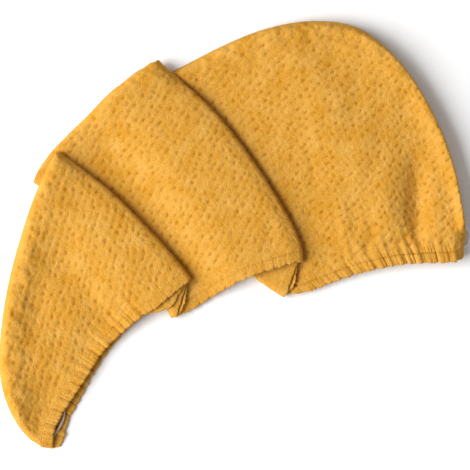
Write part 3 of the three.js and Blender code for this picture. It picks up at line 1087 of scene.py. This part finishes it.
@dataclass
class Half:
    """One half of the pouch: a towelling wall with its woven outer face."""

    side: Side
    layout: Layout
    stride: float = 1.29
    by_crown: float = 0.6
    hidden_stride: float = 3.2
    inner_stride: float = 4.0
    edge_steps: tuple[float, ...] = (0.0, 0.35, 0.9)
    edge_round: float = 1.3
    seam_share: float = 0.3
    hem_share: float = 0.97
    pucker_rise: float = 2.4
    swell: float = 0.9
    wrinkle: float = 1.45
    roll: float = 7.4
    roll_place: float = 6.0
    roll_width: float = 24.0
    far_roll_width: float = 32.0
    crown_wave: float = 0.6
    hem_gap: float = 0.2
    fuzz: float = 0.14
    seam_slope: float = 12.0
    under_pucker: float = 0.3
    edge_uneven: float = 0.1
    edge_rise: float = 4.0
    edge_held: float = 0.5
    calm_share: float = 0.35
    inner_shade_mark: float = 0.3
    least_half: float = 0.15
    weave: DimpleWeave = field(default_factory=DimpleWeave)

    @property
    def name(self) -> str:
        """The piece's name."""
        return f"{self.side.word}_half_towelling"

    @property
    def node(self) -> str:
        """The solid that the piece stands for."""
        return f"{self.side.word}_half"

    def distances(self, column: Column, stride: float) -> Array:
        """Distances from the hem of a column's places, closer together at both edges."""
        start = SIZES.hem_width + SIZES.hem_join - self.hem_gap - column.reach
        middle = column.plan[-1:]
        end = column.length + self.crown_wave * float(EDGE_FIELD.at(middle)[0] - 0.4)
        edge = np.array(self.edge_steps)
        count = max(1, math.ceil((end - start - 2 * edge[-1]) / stride))
        between = np.linspace(start + edge[-1], end - edge[-1], count + 1)
        return np.concatenate((start + edge[:-1], between, end - edge[:-1][::-1]))

    def skin(self, stride: float, hidden: float) -> tuple[Skin, Array, Array]:
        """The half's middle surface at a given fineness.

        Args:
            stride: The step in the panels.
            hidden: The step in the pleats.

        Returns:
            The skin, its points and its normals.
        """
        columns = self.layout.columns(self.side, stride, self.by_crown, hidden)
        rows = [self.distances(c, stride if c.panel else hidden) for c in columns]
        skin = Skin(columns, rows)
        height = np.array([column.level for column in columns])[skin.owner]
        for panel, mine in self.layout.owners(columns):
            own = mine[skin.owner]
            height[own] = self.panel_height(panel, skin, own)
        points = np.column_stack((skin.plan, height))
        return skin, points, vertex_normals(points, skin.triangles)

    def panel_height(self, panel: Panel, skin: Skin, own: Array) -> Array:
        """Height of the middle surface over a panel, with its puckers and wrinkles."""
        points, to_hem, to_crown = skin.plan[own], skin.to_hem[own], skin.to_crown[own]
        under = panel.under_height(points)
        loose = panel.looseness(points) * panel.end_puff(points)
        seam = puff(to_crown, self.seam_slope)
        run, inward = skin.run[own], np.maximum(to_hem - SIZES.hem_width, 0)
        gather = self.pucker_rise * GATHERS.strength(run) * GATHERS.crest(run, inward)
        gather *= panel.ruffle * GATHERS.fade(run, inward)
        if self.side is Side.UNDER:
            return under + self.under_pucker * loose * gather
        wrinkles = self.wrinkle * dent_rise(WRINKLES, points)
        swell = self.swell * (1.0 + SLOW_FIELD.at(points)) + wrinkles
        swell *= smoothstep(to_hem, SIZES.hem_width, 2.5 * SIZES.hem_width)
        edge = self.edge(points, to_crown, loose)
        edge *= smoothstep(to_hem, SIZES.hem_width, 4 * SIZES.hem_width)
        return under + panel.spread(points, to_hem, to_crown) + loose * seam * (swell + gather) + edge

    def edge(self, points: Array, to_crown: Array, loose: Array) -> Array:
        """Rise of the full edge along the crown seam, which falls away inwards.

        Args:
            points: Plan points.
            to_crown: Their distance from the crown seam.
            loose: How loose the panel is at each of them.

        Returns:
            One rise for each point.
        """
        width = lerp(self.roll_width, self.far_roll_width, far_share(points))
        roll = self.roll * np.exp(-((np.maximum(to_crown - self.roll_place, 0) / width) ** 2))
        uneven = 1 + self.edge_uneven * EDGE_FIELD.at(points)
        return roll * uneven * smoothstep(to_crown, 0, self.edge_rise) * lerp(self.edge_held, 1.0, loose)

    def build(self) -> bpy.types.Object:
        """Makes the half's closed wall.

        Returns:
            The piece.
        """
        fine, points, normals = self.skin(self.stride, self.hidden_stride)
        rough, back, back_normals = self.skin(self.inner_stride, 2 * self.hidden_stride)
        depth = self.weave.depth(fine.weave)
        calm = smoothstep(fine.to_crown, 1.0, 9.0) * smoothstep(fine.to_hem, 10.0, 26.0)
        depth *= lerp(self.calm_share, 1.0, calm)
        relief = self.fuzz * (LOOP_FIELD.at(fine.weave) - 1.0) - depth
        front = self.offset(fine, points, normals, self.side.value, relief)
        inner = self.offset(rough, back, back_normals, -self.side.value, np.zeros(len(back)))
        shift = len(front)
        triangles = [fine.triangles, rough.triangles[:, ::-1] + shift]
        for outer_edge, inner_edge in zip(fine.sides(), rough.sides()):
            triangles.append(zipper(outer_edge, inner_edge + shift))
        faces = np.vstack(triangles)
        if self.side is Side.UNDER:
            faces = faces[:, ::-1]
        # Painted shade: the relief mark carries the dimples' depth to the material, which darkens the pits;
        # the inner face's mark sits at the start of that range and is not darkened
        deep = np.concatenate((depth, np.full(len(inner), self.inner_shade_mark)))
        weave = np.vstack((fine.weave, rough.weave))
        return make_piece(self.name, np.vstack((front, inner)), faces, {"relief": deep, "weave": weave})

    def offset(self, skin: Skin, points: Array, normals: Array, way: float, relief: Array) -> Array:
        """One face of the wall, drawn in at the hem and crown edges so that they are round."""
        from_hem = skin.to_hem - skin.to_hem[skin.starts[skin.owner]]
        thick = np.ones(len(points))
        for edge, least in ((skin.to_crown, self.seam_share), (from_hem, self.hem_share)):
            thick *= lerp(least, 1.0, quarter_round(edge / self.edge_round))
        half = SIZES.cloth / 2 * thick + relief * np.minimum(thick, 1.0)
        return points + way * np.maximum(half, self.least_half)[:, None] * normals


@dataclass
class Hem:
    """A gathered hem band of one half."""

    side: Side
    layout: Layout
    stride: float = 1.1
    swell: float = 0.8
    scallop: float = 2.2
    rise: float = 2.5
    steps: int = 11
    seam_share: float = 0.86
    gap: float = 0.24
    fuzz: float = 0.14
    curl: float = 3.4
    curl_reach: float = 5.5
    spacing: float = 1.3
    pleat_ruffle: float = 1.1
    nose_share: float = 0.12
    bulge_share: float = 0.3
    bulge_end: float = 0.72
    least_half: float = 0.25
    weave_share: float = 0.35
    # The two values below paint shade: into the creases between the puckers, and slightly onto the band's
    # inner face
    crease: float = 1.5
    inner_shade_mark: float = 0.4

    @property
    def name(self) -> str:
        """The piece's name."""
        return f"{self.side.word}_hem_band"

    @property
    def node(self) -> str:
        """The solid that the piece stands for."""
        return f"{self.side.word}_hem"

    def build(self) -> bpy.types.Object:
        """Makes the hem's closed band.

        Returns:
            The piece.
        """
        columns = self.layout.columns(self.side, self.stride, 0.0, self.stride * 1.4)
        tuck = np.linspace(0.0, 1.0, self.steps) ** self.spacing
        run = np.array([column.run for column in columns])
        origin = np.array([column.plan[0] for column in columns])
        crest = GATHERS.crest(run, np.zeros(len(run)))
        reach = self.reaches(columns)
        ruffle = np.array([c.panel.ruffle if c.panel else self.pleat_ruffle for c in columns])
        nose = self.scallop * ruffle * (1 - crest) - reach
        inner = SIZES.hem_width + SIZES.hem_join - self.gap - reach
        skin = Skin(columns, [lerp(a, b, tuck) for a, b in zip(nose, inner)])
        free = self.freedom(columns, origin)[:, None] * ruffle[:, None]
        crest, strength = crest[:, None], GATHERS.strength(run)[:, None]
        height = self.heights(columns, skin).reshape(len(columns), self.steps)
        height = height + free * strength * self.rise * crest
        if self.side is Side.UPPER:
            inward = skin.to_hem.reshape(height.shape) + reach[:, None]
            curl = self.curl * (reach[:, None] / SIZES.upper_reach * (0.6 + 0.4 * crest))
            height = height + curl * (1 - smoothstep(inward, 0.5, self.curl_reach))
        points = np.column_stack((skin.plan, height.ravel()))
        normals = vertex_normals(points, skin.triangles)
        bulge = quarter_round(tuck / self.bulge_share) * (1 - smoothstep(tuck, self.bulge_end, 1.0))
        half = np.maximum(SIZES.cloth / 2 * quarter_round(tuck / self.nose_share), self.least_half)
        sewn = smoothstep(tuck, 0.9, 1.0)
        top = half * lerp(1.0, 0.97, sewn) + self.swell * (0.5 + 0.5 * crest) * bulge * free * strength
        low = -half * lerp(1.0, 0.6, sewn) * np.ones_like(top)
        depth = DimpleWeave().depth(skin.weave).reshape(top.shape) * self.weave_share
        top = top + self.fuzz * (LOOP_FIELD.at(skin.weave).reshape(top.shape) - 1.0) - depth
        upper = points + top.ravel()[:, None] * normals
        lower = points + low.ravel()[:, None] * normals
        if self.side is Side.UNDER:
            lower[:, 2] = np.maximum(lower[:, 2], 0.0)
        shift = len(points)
        triangles = [skin.triangles, skin.triangles[:, ::-1] + shift]
        triangles += [zipper(edge, edge + shift) for edge in skin.sides()]
        # Painted shade: the relief mark darkens the creases between the puckers and the weave's dimples, and
        # slightly darkens the band's inner face
        crease = self.crease * (1 - crest) ** 1.5 * np.minimum(1, free + 0.4)
        deep = np.concatenate(((depth + crease).ravel(), np.full(shift, self.inner_shade_mark)))
        marks = {"relief": deep, "weave": np.vstack((skin.weave, skin.weave))}
        self.seam = upper.reshape(len(columns), self.steps, 3)[:, int(self.seam_share * self.steps)]
        return make_piece(self.name, np.vstack((upper, lower)), np.vstack(triangles), marks)

    def heights(self, columns: list[Column], skin: Skin) -> Array:
        """Height of the band's middle surface before its puckers, at every place of the skin."""
        height = np.array([column.level for column in columns])[skin.owner]
        for panel, mine in self.layout.owners(columns):
            own = mine[skin.owner]
            height[own] = panel.under_height(skin.plan[own])
            if self.side is Side.UPPER:
                to_hem = np.maximum(skin.to_hem[own], 0)
                height[own] += panel.spread(skin.plan[own], to_hem, skin.to_crown[own])
        return height

    def reaches(self, columns: list[Column]) -> Array:
        """How far the hem stands out at each column."""
        return np.array([column.reach for column in columns])

    def freedom(self, columns: list[Column], origin: Array) -> Array:
        """How freely the band swells: not under a pleat, nor at a sewn end."""
        free = np.zeros(len(columns))
        for panel, own in self.layout.owners(columns):
            free[own] = panel.looseness(origin[own]) * panel.end_puff(origin[own])
        return free


class Bench:
    """Small helpers to build node trees."""

    @staticmethod
    def node(tree: bpy.types.NodeTree, kind: str, **values: object) -> bpy.types.Node:
        """Adds a node and sets its properties."""
        made = tree.nodes.new(kind)
        for key, value in values.items():
            setattr(made, key, value)
        return made

    @staticmethod
    def maths(tree: bpy.types.NodeTree, operation: str, *inputs: object) -> bpy.types.NodeSocket:
        """Adds a Math node whose inputs are sockets or numbers."""
        made = tree.nodes.new("ShaderNodeMath")
        made.operation = operation
        for socket, value in zip(made.inputs, inputs):
            if isinstance(value, bpy.types.NodeSocket):
                tree.links.new(value, socket)
            else:
                socket.default_value = value
        return made.outputs[0]

    @staticmethod
    def blend(tree: bpy.types.NodeTree, mask: object, low: object, high: object) -> bpy.types.NodeSocket:
        """Mixes two colours or colour sockets by a mask, from low at 0 to high at 1."""
        made = Bench.node(tree, "ShaderNodeMix", data_type="RGBA")
        tree.links.new(mask, made.inputs[0])
        for socket, colour in ((made.inputs[6], low), (made.inputs[7], high)):
            if isinstance(colour, bpy.types.NodeSocket):
                tree.links.new(colour, socket)
            else:
                socket.default_value = (*colour, 1)
        return made.outputs[2]

    @staticmethod
    def bump(tree: bpy.types.NodeTree, height: object, strength: float, reach: float) -> None:
        """Roughens the material's normal by a height."""
        made = Bench.node(tree, "ShaderNodeBump")
        made.inputs["Strength"].default_value = strength
        made.inputs["Distance"].default_value = reach
        tree.links.new(height, made.inputs["Height"])
        tree.links.new(made.outputs["Normal"], tree.nodes["Principled BSDF"].inputs["Normal"])


def fibre_group() -> bpy.types.NodeTree:
    """A shader group of soft fibres: a mask of fuzz, a slow mottle and a height for bump.

    Returns:
        The group.
    """
    group = bpy.data.node_groups.new("fibre fuzz", "ShaderNodeTree")
    for name, default in (("Fuzz scale", 900.0), ("Mottle scale", 55.0)):
        socket = group.interface.new_socket(name, in_out="INPUT", socket_type="NodeSocketFloat")
        socket.default_value = default
    for name in ("Fuzz", "Mottle", "Height"):
        group.interface.new_socket(name, in_out="OUTPUT", socket_type="NodeSocketFloat")
    inlet = group.nodes.new("NodeGroupInput")
    outlet = group.nodes.new("NodeGroupOutput")
    place = group.nodes.new("ShaderNodeTexCoord")
    fuzz = Bench.node(group, "ShaderNodeTexNoise")
    fuzz.inputs["Detail"].default_value = 3.0
    fuzz.inputs["Roughness"].default_value = 0.65
    mottle = Bench.node(group, "ShaderNodeTexNoise")
    mottle.inputs["Detail"].default_value = 2.0
    for noise, scale in ((fuzz, "Fuzz scale"), (mottle, "Mottle scale")):
        group.links.new(place.outputs["Object"], noise.inputs["Vector"])
        group.links.new(inlet.outputs[scale], noise.inputs["Scale"])
    curls = Bench.node(group, "ShaderNodeTexVoronoi", feature="SMOOTH_F1")
    group.links.new(place.outputs["Object"], curls.inputs["Vector"])
    group.links.new(inlet.outputs["Fuzz scale"], curls.inputs["Scale"])
    height = Bench.maths(group, "SUBTRACT", fuzz.outputs["Fac"], curls.outputs["Distance"])
    group.links.new(fuzz.outputs["Fac"], outlet.inputs["Fuzz"])
    group.links.new(mottle.outputs["Fac"], outlet.inputs["Mottle"])
    group.links.new(height, outlet.inputs["Height"])
    return group


@dataclass(frozen=True)
class ClothFinish:
    """A dyed, softly fuzzy towelling, whose deep colour is painted shade laid into its pits and creases."""

    name: str
    light: tuple[float, float, float]
    body: tuple[float, float, float]
    # The deep colour is painted shade, mixed in where the relief mark is deep
    deep: tuple[float, float, float]
    fuzz_scale: float = 700.0
    bump: float = 0.6
    bump_reach: float = 0.0006
    sheen: float = 0.1
    sheen_roughness: float = 0.45
    sheen_tint: tuple[float, float, float] = (1.0, 0.62, 0.16)
    specular: float = 0.03
    pit_shade_start: float = 0.3
    pit_shade_end: float = 1.7
    fleck: float = 2.0
    cloud: float = 1.1
    base: float = -1.1

    def make(self, fibres: bpy.types.NodeTree) -> bpy.types.Material:
        """Builds the material.

        Args:
            fibres: The shared fibre group.

        Returns:
            The material.
        """
        material = bpy.data.materials.new(self.name)
        material.use_nodes = True
        tree = material.node_tree
        shader = tree.nodes["Principled BSDF"]
        shader.inputs["Sheen Weight"].default_value = self.sheen
        shader.inputs["Sheen Roughness"].default_value = self.sheen_roughness
        shader.inputs["Sheen Tint"].default_value = (*self.sheen_tint, 1.0)
        shader.inputs["Specular IOR Level"].default_value = self.specular
        group = Bench.node(tree, "ShaderNodeGroup", node_tree=fibres)
        group.inputs["Fuzz scale"].default_value = self.fuzz_scale
        relief = Bench.node(tree, "ShaderNodeAttribute", attribute_name="relief")
        # Painted shade: the deeper the relief mark, the more the deep colour darkens the dye
        pit_shade_mask = Bench.node(tree, "ShaderNodeMapRange")
        pit_shade_mask.inputs["From Min"].default_value = self.pit_shade_start
        pit_shade_mask.inputs["From Max"].default_value = self.pit_shade_end
        tree.links.new(relief.outputs["Fac"], pit_shade_mask.inputs["Value"])
        mottle = Bench.maths(tree, "MULTIPLY_ADD", group.outputs["Mottle"], self.cloud, self.base)
        tone = Bench.maths(tree, "MULTIPLY_ADD", group.outputs["Fuzz"], self.fleck, mottle)
        dye_and_pit_shade = Bench.blend(tree, tone, self.body, self.light)
        # This second mix paints shade into the pits, creases and grooves
        dye_and_pit_shade = Bench.blend(tree, pit_shade_mask.outputs["Result"], dye_and_pit_shade, self.deep)
        tree.links.new(dye_and_pit_shade, shader.inputs["Base Color"])
        rough = Bench.maths(tree, "MULTIPLY_ADD", group.outputs["Fuzz"], 0.12, 0.84)
        tree.links.new(rough, shader.inputs["Roughness"])
        Bench.bump(tree, group.outputs["Height"], self.bump, self.bump_reach)
        return material


@dataclass(frozen=True)
class SmoothFinish:
    """A plain moulded or painted surface with a faint unevenness."""

    name: str
    colour: tuple[float, float, float]
    shade: tuple[float, float, float]
    roughness: float
    scale: float = 60.0
    bump: float = 0.05
    bump_reach: float = 0.0003

    def make(self, fibres: bpy.types.NodeTree) -> bpy.types.Material:
        """Builds the material.

        Args:
            fibres: The shared fibre group, whose slow mottle clouds the colour.

        Returns:
            The material.
        """
        material = bpy.data.materials.new(self.name)
        material.use_nodes = True
        tree = material.node_tree
        shader = tree.nodes["Principled BSDF"]
        group = Bench.node(tree, "ShaderNodeGroup", node_tree=fibres)
        group.inputs["Mottle scale"].default_value = self.scale
        colour = Bench.blend(tree, group.outputs["Mottle"], self.colour, self.shade)
        tree.links.new(colour, shader.inputs["Base Color"])
        rough = Bench.maths(tree, "MULTIPLY_ADD", group.outputs["Mottle"], 0.08, self.roughness)
        tree.links.new(rough, shader.inputs["Roughness"])
        Bench.bump(tree, group.outputs["Height"], self.bump, self.bump_reach)
        return material


# The last colour of each cloth is painted shade for its pits, creases and braid grooves
TOWELLING = ClothFinish("mustard towelling", (0.725, 0.405, 0.092), (0.56, 0.24, 0.012), (0.36, 0.13, 0.004))
HEMMING = ClothFinish("mustard hem", (0.725, 0.405, 0.092), (0.56, 0.24, 0.012), (0.33, 0.115, 0.003))
ELASTIC = ClothFinish("off-white elastic", (0.52, 0.44, 0.37), (0.42, 0.35, 0.30), (0.25, 0.2, 0.17))
THREAD = ClothFinish("mustard thread", (0.5, 0.23, 0.025), (0.42, 0.17, 0.012), (0.3, 0.1, 0.004))
RESIN = SmoothFinish("milky resin", (0.86, 0.85, 0.82), (0.78, 0.77, 0.75), 0.28)
GROUND = SmoothFinish("pale ground", (0.97, 0.97, 0.97), (0.95, 0.95, 0.95), 0.8)


@dataclass
class Button:
    """The milky button that lies under the head end."""

    turns: int = 72
    rounding: float = 0.8

    def build(self) -> bpy.types.Object:
        """Turns the button's profile.

        Returns:
            The piece.
        """
        radius = SIZES.button_diameter / 2
        top = SIZES.button_thickness
        floor = top - SIZES.button_dish
        soft = self.rounding
        profile = [(0.0, 0.0), (radius - 1.6 * soft, 0.0)]
        for step in range(1, 6):
            angle = -np.pi / 2 + np.pi * step / 6
            profile.append((radius - soft + soft * math.cos(angle), top / 2 + (top / 2) * math.sin(angle)))
        rim = radius - SIZES.button_rim
        profile += [(rim + 0.5, top), (rim, top - 0.12), (rim - 0.5, lerp(floor, top, 0.35))]
        profile += [(rim - 1.1, floor + 0.04), (0.55 * rim, floor - 0.1), (0.0, floor - 0.15)]
        rings = np.array(profile)
        angles = np.linspace(0, 2 * np.pi, self.turns, endpoint=False)
        centre = SIZES.place((BUTTON_PLACE,))[0]
        inner = rings[1:-1]
        x = centre[0] + np.outer(np.cos(angles), inner[:, 0])
        y = centre[1] + np.outer(np.sin(angles), inner[:, 0])
        z = np.tile(inner[:, 1], (self.turns, 1))
        points = np.stack((x, y, z), axis=2).reshape(-1, 3)
        size = len(inner)
        triangles = []
        for i in range(self.turns):
            here = np.arange(size) + i * size
            there = np.arange(size) + ((i + 1) % self.turns) * size
            triangles.append(np.column_stack((here[:-1], there[:-1], there[1:])))
            triangles.append(np.column_stack((here[:-1], there[1:], here[1:])))
        poles = np.array(((*centre, rings[0, 1]), (*centre, rings[-1, 1])))
        bottom = len(points)
        for i in range(self.turns):
            j = (i + 1) % self.turns
            triangles.append(np.array(((bottom, j * size, i * size),)))
            triangles.append(np.array(((bottom + 1, i * size + size - 1, j * size + size - 1),)))
        return make_piece("milky_button", np.vstack((points, poles)), np.vstack(triangles), {})


@dataclass
class ElasticLoop:
    """The round elastic loop in the tail's mouth, a braided cord."""

    sides: int = 20
    stride: float = 0.35
    braid: float = 0.07
    pitch: float = 3.2

    def path(self) -> Array:
        """The cord's middle line from the towel's own corner, in millimetres."""
        spots = SIZES.place(LOOP_ROUTE)
        lift = np.array([spot.lift for spot in LOOP_ROUTE])
        under = SIZES.cloth + lift * (SIZES.hem_swell + SIZES.ruffle_rise)
        height = under + SIZES.seam_space + SIZES.loop_cord / 2
        route = Route(np.column_stack((spots, height)))
        count = math.ceil(route.length / self.stride)
        self.length = route.length * METRES
        return route.along(np.linspace(0, 1, count + 1))

    def build(self) -> bpy.types.Object:
        """Sweeps the braided cord along its line.

        Returns:
            The piece.
        """
        line = self.path()
        tangent = np.gradient(line, axis=0)
        tangent /= np.linalg.norm(tangent, axis=1)[:, None]
        aside = np.cross(tangent, (0, 0, 1.0))
        aside /= np.linalg.norm(aside, axis=1)[:, None]
        upward = np.cross(aside, tangent)
        run = np.arange(len(line)) * self.stride
        angle = np.linspace(0, 2 * np.pi, self.sides, endpoint=False)
        wave = 2 * np.pi * run[:, None] / self.pitch
        strands = np.abs(np.sin(2 * angle + wave)) * np.abs(np.sin(2 * angle - wave))
        radius = SIZES.loop_cord / 2 * (1 - self.braid + self.braid * strands)
        ring = (aside[:, None] * np.cos(angle)[None, :, None]
                + upward[:, None] * np.sin(angle)[None, :, None])
        points = line[:, None] + radius[:, :, None] * ring
        triangles = []
        for i in range(len(line) - 1):
            here = np.arange(self.sides) + i * self.sides
            there = here + self.sides
            triangles.append(np.column_stack((here, np.roll(here, -1), np.roll(there, -1))))
            triangles.append(np.column_stack((here, np.roll(there, -1), there)))
        ends = np.array((line[0], line[-1]))
        first, last = len(line) * self.sides, len(line) * self.sides + 1
        rim = np.arange(self.sides)
        triangles.append(np.column_stack((np.full(self.sides, first), np.roll(rim, -1), rim)))
        rim = rim + (len(line) - 1) * self.sides
        triangles.append(np.column_stack((np.full(self.sides, last), rim, np.roll(rim, -1))))
        faces = np.vstack(triangles)
        # Painted shade: the relief mark darkens the grooves between the braid's strands
        deep = np.concatenate(((1 - strands).ravel() * 0.6, np.zeros(2)))
        points = np.vstack((points.reshape(-1, 3), ends))
        piece = make_piece("elastic_loop", points, faces, {"relief": deep})
        self.centre_line = (line + ORIGIN_SHIFT) * METRES
        return piece


class StitchRow:
    """A row of stitches along a line, made by Geometry Nodes."""

    def __init__(self, length: float = 2.6, pitch: float = 3.6, radius: float = 0.27) -> None:
        """Keeps the stitches' sizes.

        Args:
            length: Length of one stitch.
            pitch: Distance from stitch to stitch.
            radius: The thread's radius.
        """
        self.length = length
        self.pitch = pitch
        self.radius = radius
        self.tree = self.make_tree()

    def make_tree(self) -> bpy.types.NodeTree:
        """Builds the tree, with named inputs for the sizes and the material."""
        tree = bpy.data.node_groups.new("stitch row", "GeometryNodeTree")
        face = tree.interface
        face.new_socket("Geometry", in_out="INPUT", socket_type="NodeSocketGeometry")
        for name in ("Stitch length", "Pitch", "Thread radius"):
            face.new_socket(name, in_out="INPUT", socket_type="NodeSocketFloat")
        face.new_socket("Thread", in_out="INPUT", socket_type="NodeSocketMaterial")
        face.new_socket("Geometry", in_out="OUTPUT", socket_type="NodeSocketGeometry")
        inlet = tree.nodes.new("NodeGroupInput")
        outlet = tree.nodes.new("NodeGroupOutput")
        curve = tree.nodes.new("GeometryNodeMeshToCurve")
        even = Bench.node(tree, "GeometryNodeResampleCurve", mode="LENGTH")
        spread = Bench.node(tree, "GeometryNodeCurveToPoints", mode="EVALUATED")
        ball = tree.nodes.new("GeometryNodeMeshUVSphere")
        ball.inputs["Segments"].default_value = 8
        ball.inputs["Rings"].default_value = 6
        turn = Bench.node(tree, "FunctionNodeAlignRotationToVector", axis="X")
        scale = tree.nodes.new("ShaderNodeCombineXYZ")
        instance = tree.nodes.new("GeometryNodeInstanceOnPoints")
        real = tree.nodes.new("GeometryNodeRealizeInstances")
        smooth = tree.nodes.new("GeometryNodeSetShadeSmooth")
        dress = tree.nodes.new("GeometryNodeSetMaterial")
        sizes = inlet.outputs
        stretch = Bench.maths(tree, "DIVIDE", sizes["Stitch length"], sizes["Thread radius"])
        scale.inputs["Y"].default_value = 1.0
        scale.inputs["Z"].default_value = 1.0
        links = (
            (sizes["Geometry"], curve, "Mesh"),
            (curve.outputs["Curve"], even, "Curve"),
            (sizes["Pitch"], even, "Length"),
            (even.outputs["Curve"], spread, "Curve"),
            (spread.outputs["Tangent"], turn, "Vector"),
            (sizes["Thread radius"], ball, "Radius"),
            (Bench.maths(tree, "MULTIPLY", stretch, 0.5), scale, "X"),
            (spread.outputs["Points"], instance, "Points"),
            (ball.outputs["Mesh"], instance, "Instance"),
            (turn.outputs["Rotation"], instance, "Rotation"),
            (scale.outputs["Vector"], instance, "Scale"),
            (instance.outputs["Instances"], real, "Geometry"),
            (real.outputs["Geometry"], smooth, "Geometry"),
            (smooth.outputs["Geometry"], dress, "Geometry"),
            (sizes["Thread"], dress, "Material"),
            (dress.outputs["Geometry"], outlet, "Geometry"),
        )
        for output, node, socket in links:
            tree.links.new(output, node.inputs[socket])
        return tree

    def build(self, name: str, line: Array, thread: bpy.types.Material) -> bpy.types.Object:
        """Sews along a line.

        Args:
            name: The piece's name.
            line: The line's places in plan millimetres.
            thread: The thread's material.

        Returns:
            The stitches as one plain mesh.
        """
        mesh = bpy.data.meshes.new(name + "_line")
        places = ((line + ORIGIN_SHIFT) * METRES).tolist()
        mesh.from_pydata(places, [(i, i + 1) for i in range(len(places) - 1)], [])
        guide = bpy.data.objects.new(name + "_line", mesh)
        bpy.context.scene.collection.objects.link(guide)
        modifier = guide.modifiers.new("stitches", "NODES")
        modifier.node_group = self.tree
        values = {
            "Stitch length": self.length * METRES,
            "Pitch": self.pitch * METRES,
            "Thread radius": self.radius * METRES,
            "Thread": thread,
        }
        for item in self.tree.interface.items_tree:
            if item.in_out == "INPUT" and item.name in values:
                modifier[item.identifier] = values[item.name]
        graph = bpy.context.evaluated_depsgraph_get()
        sewn = bpy.data.meshes.new_from_object(guide.evaluated_get(graph))
        sewn.name = name
        bpy.data.objects.remove(guide)
        piece = bpy.data.objects.new(name, sewn)
        bpy.context.scene.collection.objects.link(piece)
        log.info("%s: %d faces", name, len(sewn.polygons))
        return piece


@dataclass
class Studio:
    """The pale floor, the soft light and the camera."""

    photo_side: float = 470.0
    elevation: float = 86.0
    distance: float = 2400.0
    middle: tuple[float, float] = (-0.7, -1.2)
    sensor: float = 36.0
    lamp_distance: float = 3.6
    lamp_height: float = 40.0
    lamp_size: float = 3.0
    key_bearing: float = 190.0
    key_power: float = 218.0
    sky: float = 0.34
    floor_half: float = 6.0
    floor_thick: float = 0.02
    floor_drop: float = 0.0002

    def build(self, ground: bpy.types.Material) -> None:
        """Sets up everything around the towel."""
        self.floor(ground)
        self.light()
        self.camera()

    def floor(self, ground: bpy.types.Material) -> None:
        """Lays a floor plate just under the towel."""
        sides = (-self.floor_half, self.floor_half)
        corners = [(x, y, z) for z in (-self.floor_thick, -self.floor_drop) for y in sides for x in sides]
        faces = [(0, 2, 3, 1), (4, 5, 7, 6), (0, 1, 5, 4), (1, 3, 7, 5), (3, 2, 6, 7), (2, 0, 4, 6)]
        mesh = bpy.data.meshes.new("floor")
        mesh.from_pydata(corners, [], faces)
        mesh.materials.append(ground)
        floor = bpy.data.objects.new("floor", mesh)
        bpy.context.scene.collection.objects.link(floor)

    def light(self) -> None:
        """Hangs one square lamp that faces the towel and sets an even sky."""
        data = bpy.data.lights.new("key", "AREA")
        data.size = self.lamp_size
        data.energy = self.key_power
        lamp = bpy.data.objects.new("key", data)
        turn, rise = math.radians(self.key_bearing), math.radians(self.lamp_height)
        away = Vector((math.cos(turn) * math.cos(rise), math.sin(turn) * math.cos(rise), math.sin(rise)))
        lamp.location = away * self.lamp_distance
        lamp.rotation_euler = (-away).to_track_quat("-Z", "Y").to_euler()
        bpy.context.scene.collection.objects.link(lamp)
        world = bpy.data.worlds.new("even sky")
        world.use_nodes = True
        sky = world.node_tree.nodes["Background"]
        sky.inputs["Color"].default_value = (1.0, 1.0, 1.0, 1.0)
        sky.inputs["Strength"].default_value = self.sky
        bpy.context.scene.world = world
        bpy.context.scene.view_settings.view_transform = "Standard"

    def camera(self) -> None:
        """Places the camera nearly overhead, framed as the photograph is."""
        data = bpy.data.cameras.new("camera")
        data.sensor_width = self.sensor
        data.lens = self.sensor * self.distance / self.photo_side
        data.clip_start = 0.05
        data.clip_end = 50.0
        camera = bpy.data.objects.new("camera", data)
        tilt = math.radians(self.elevation)
        back = Vector((0.0, -math.cos(tilt), math.sin(tilt)))
        target = Vector((*self.middle, 0.0)) * METRES
        camera.location = target + back * self.distance * METRES
        camera.rotation_euler = (-back).to_track_quat("-Z", "Y").to_euler()
        bpy.context.scene.collection.objects.link(camera)
        bpy.context.scene.camera = camera


class Turban:
    """The whole towel: builds and dresses each piece."""

    def __init__(self) -> None:
        """Prepares the layout and the finishes."""
        self.layout = Layout()
        fibres = fibre_group()
        self.towelling = TOWELLING.make(fibres)
        self.hemming = HEMMING.make(fibres)
        self.elastic = ELASTIC.make(fibres)
        self.thread = THREAD.make(fibres)
        self.resin = RESIN.make(fibres)
        self.ground = GROUND.make(fibres)

    def dress(self, piece: bpy.types.Object, material: bpy.types.Material, slot: str, *nodes: str) -> None:
        """Gives a piece its finish and its place on the body.

        Args:
            piece: The piece.
            material: Its material.
            slot: Not used.
            nodes: The solids that it stands for.
        """
        piece.data.materials.clear()
        piece.data.materials.append(material)
        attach(piece, "root")
        if nodes:
            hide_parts(*nodes)

    def build(self) -> None:
        """Makes every piece of the towel."""
        loop = ElasticLoop()
        cord = loop.build()
        self.dress(cord, self.elastic, "elastic", "button_loop")
        rows = StitchRow()
        for side in Side:
            half = Half(side, self.layout)
            cloth = half.build()
            self.dress(cloth, self.towelling, "towelling", half.node)
            hem = Hem(side, self.layout)
            band = hem.build()
            self.dress(band, self.hemming, "hem", hem.node)
            stitches = rows.build(hem.node + "_topstitches", hem.seam, self.thread)
            self.dress(stitches, self.thread, "hem")
        self.dress(Button().build(), self.resin, "button", "button")


def main() -> None:
    """Builds the scene in order."""
    logging.basicConfig(level=logging.INFO, format="%(name)s %(message)s")
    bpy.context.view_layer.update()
    turban = Turban()
    Studio().build(turban.ground)
    turban.build()


if __name__ == "__main__":
    main()
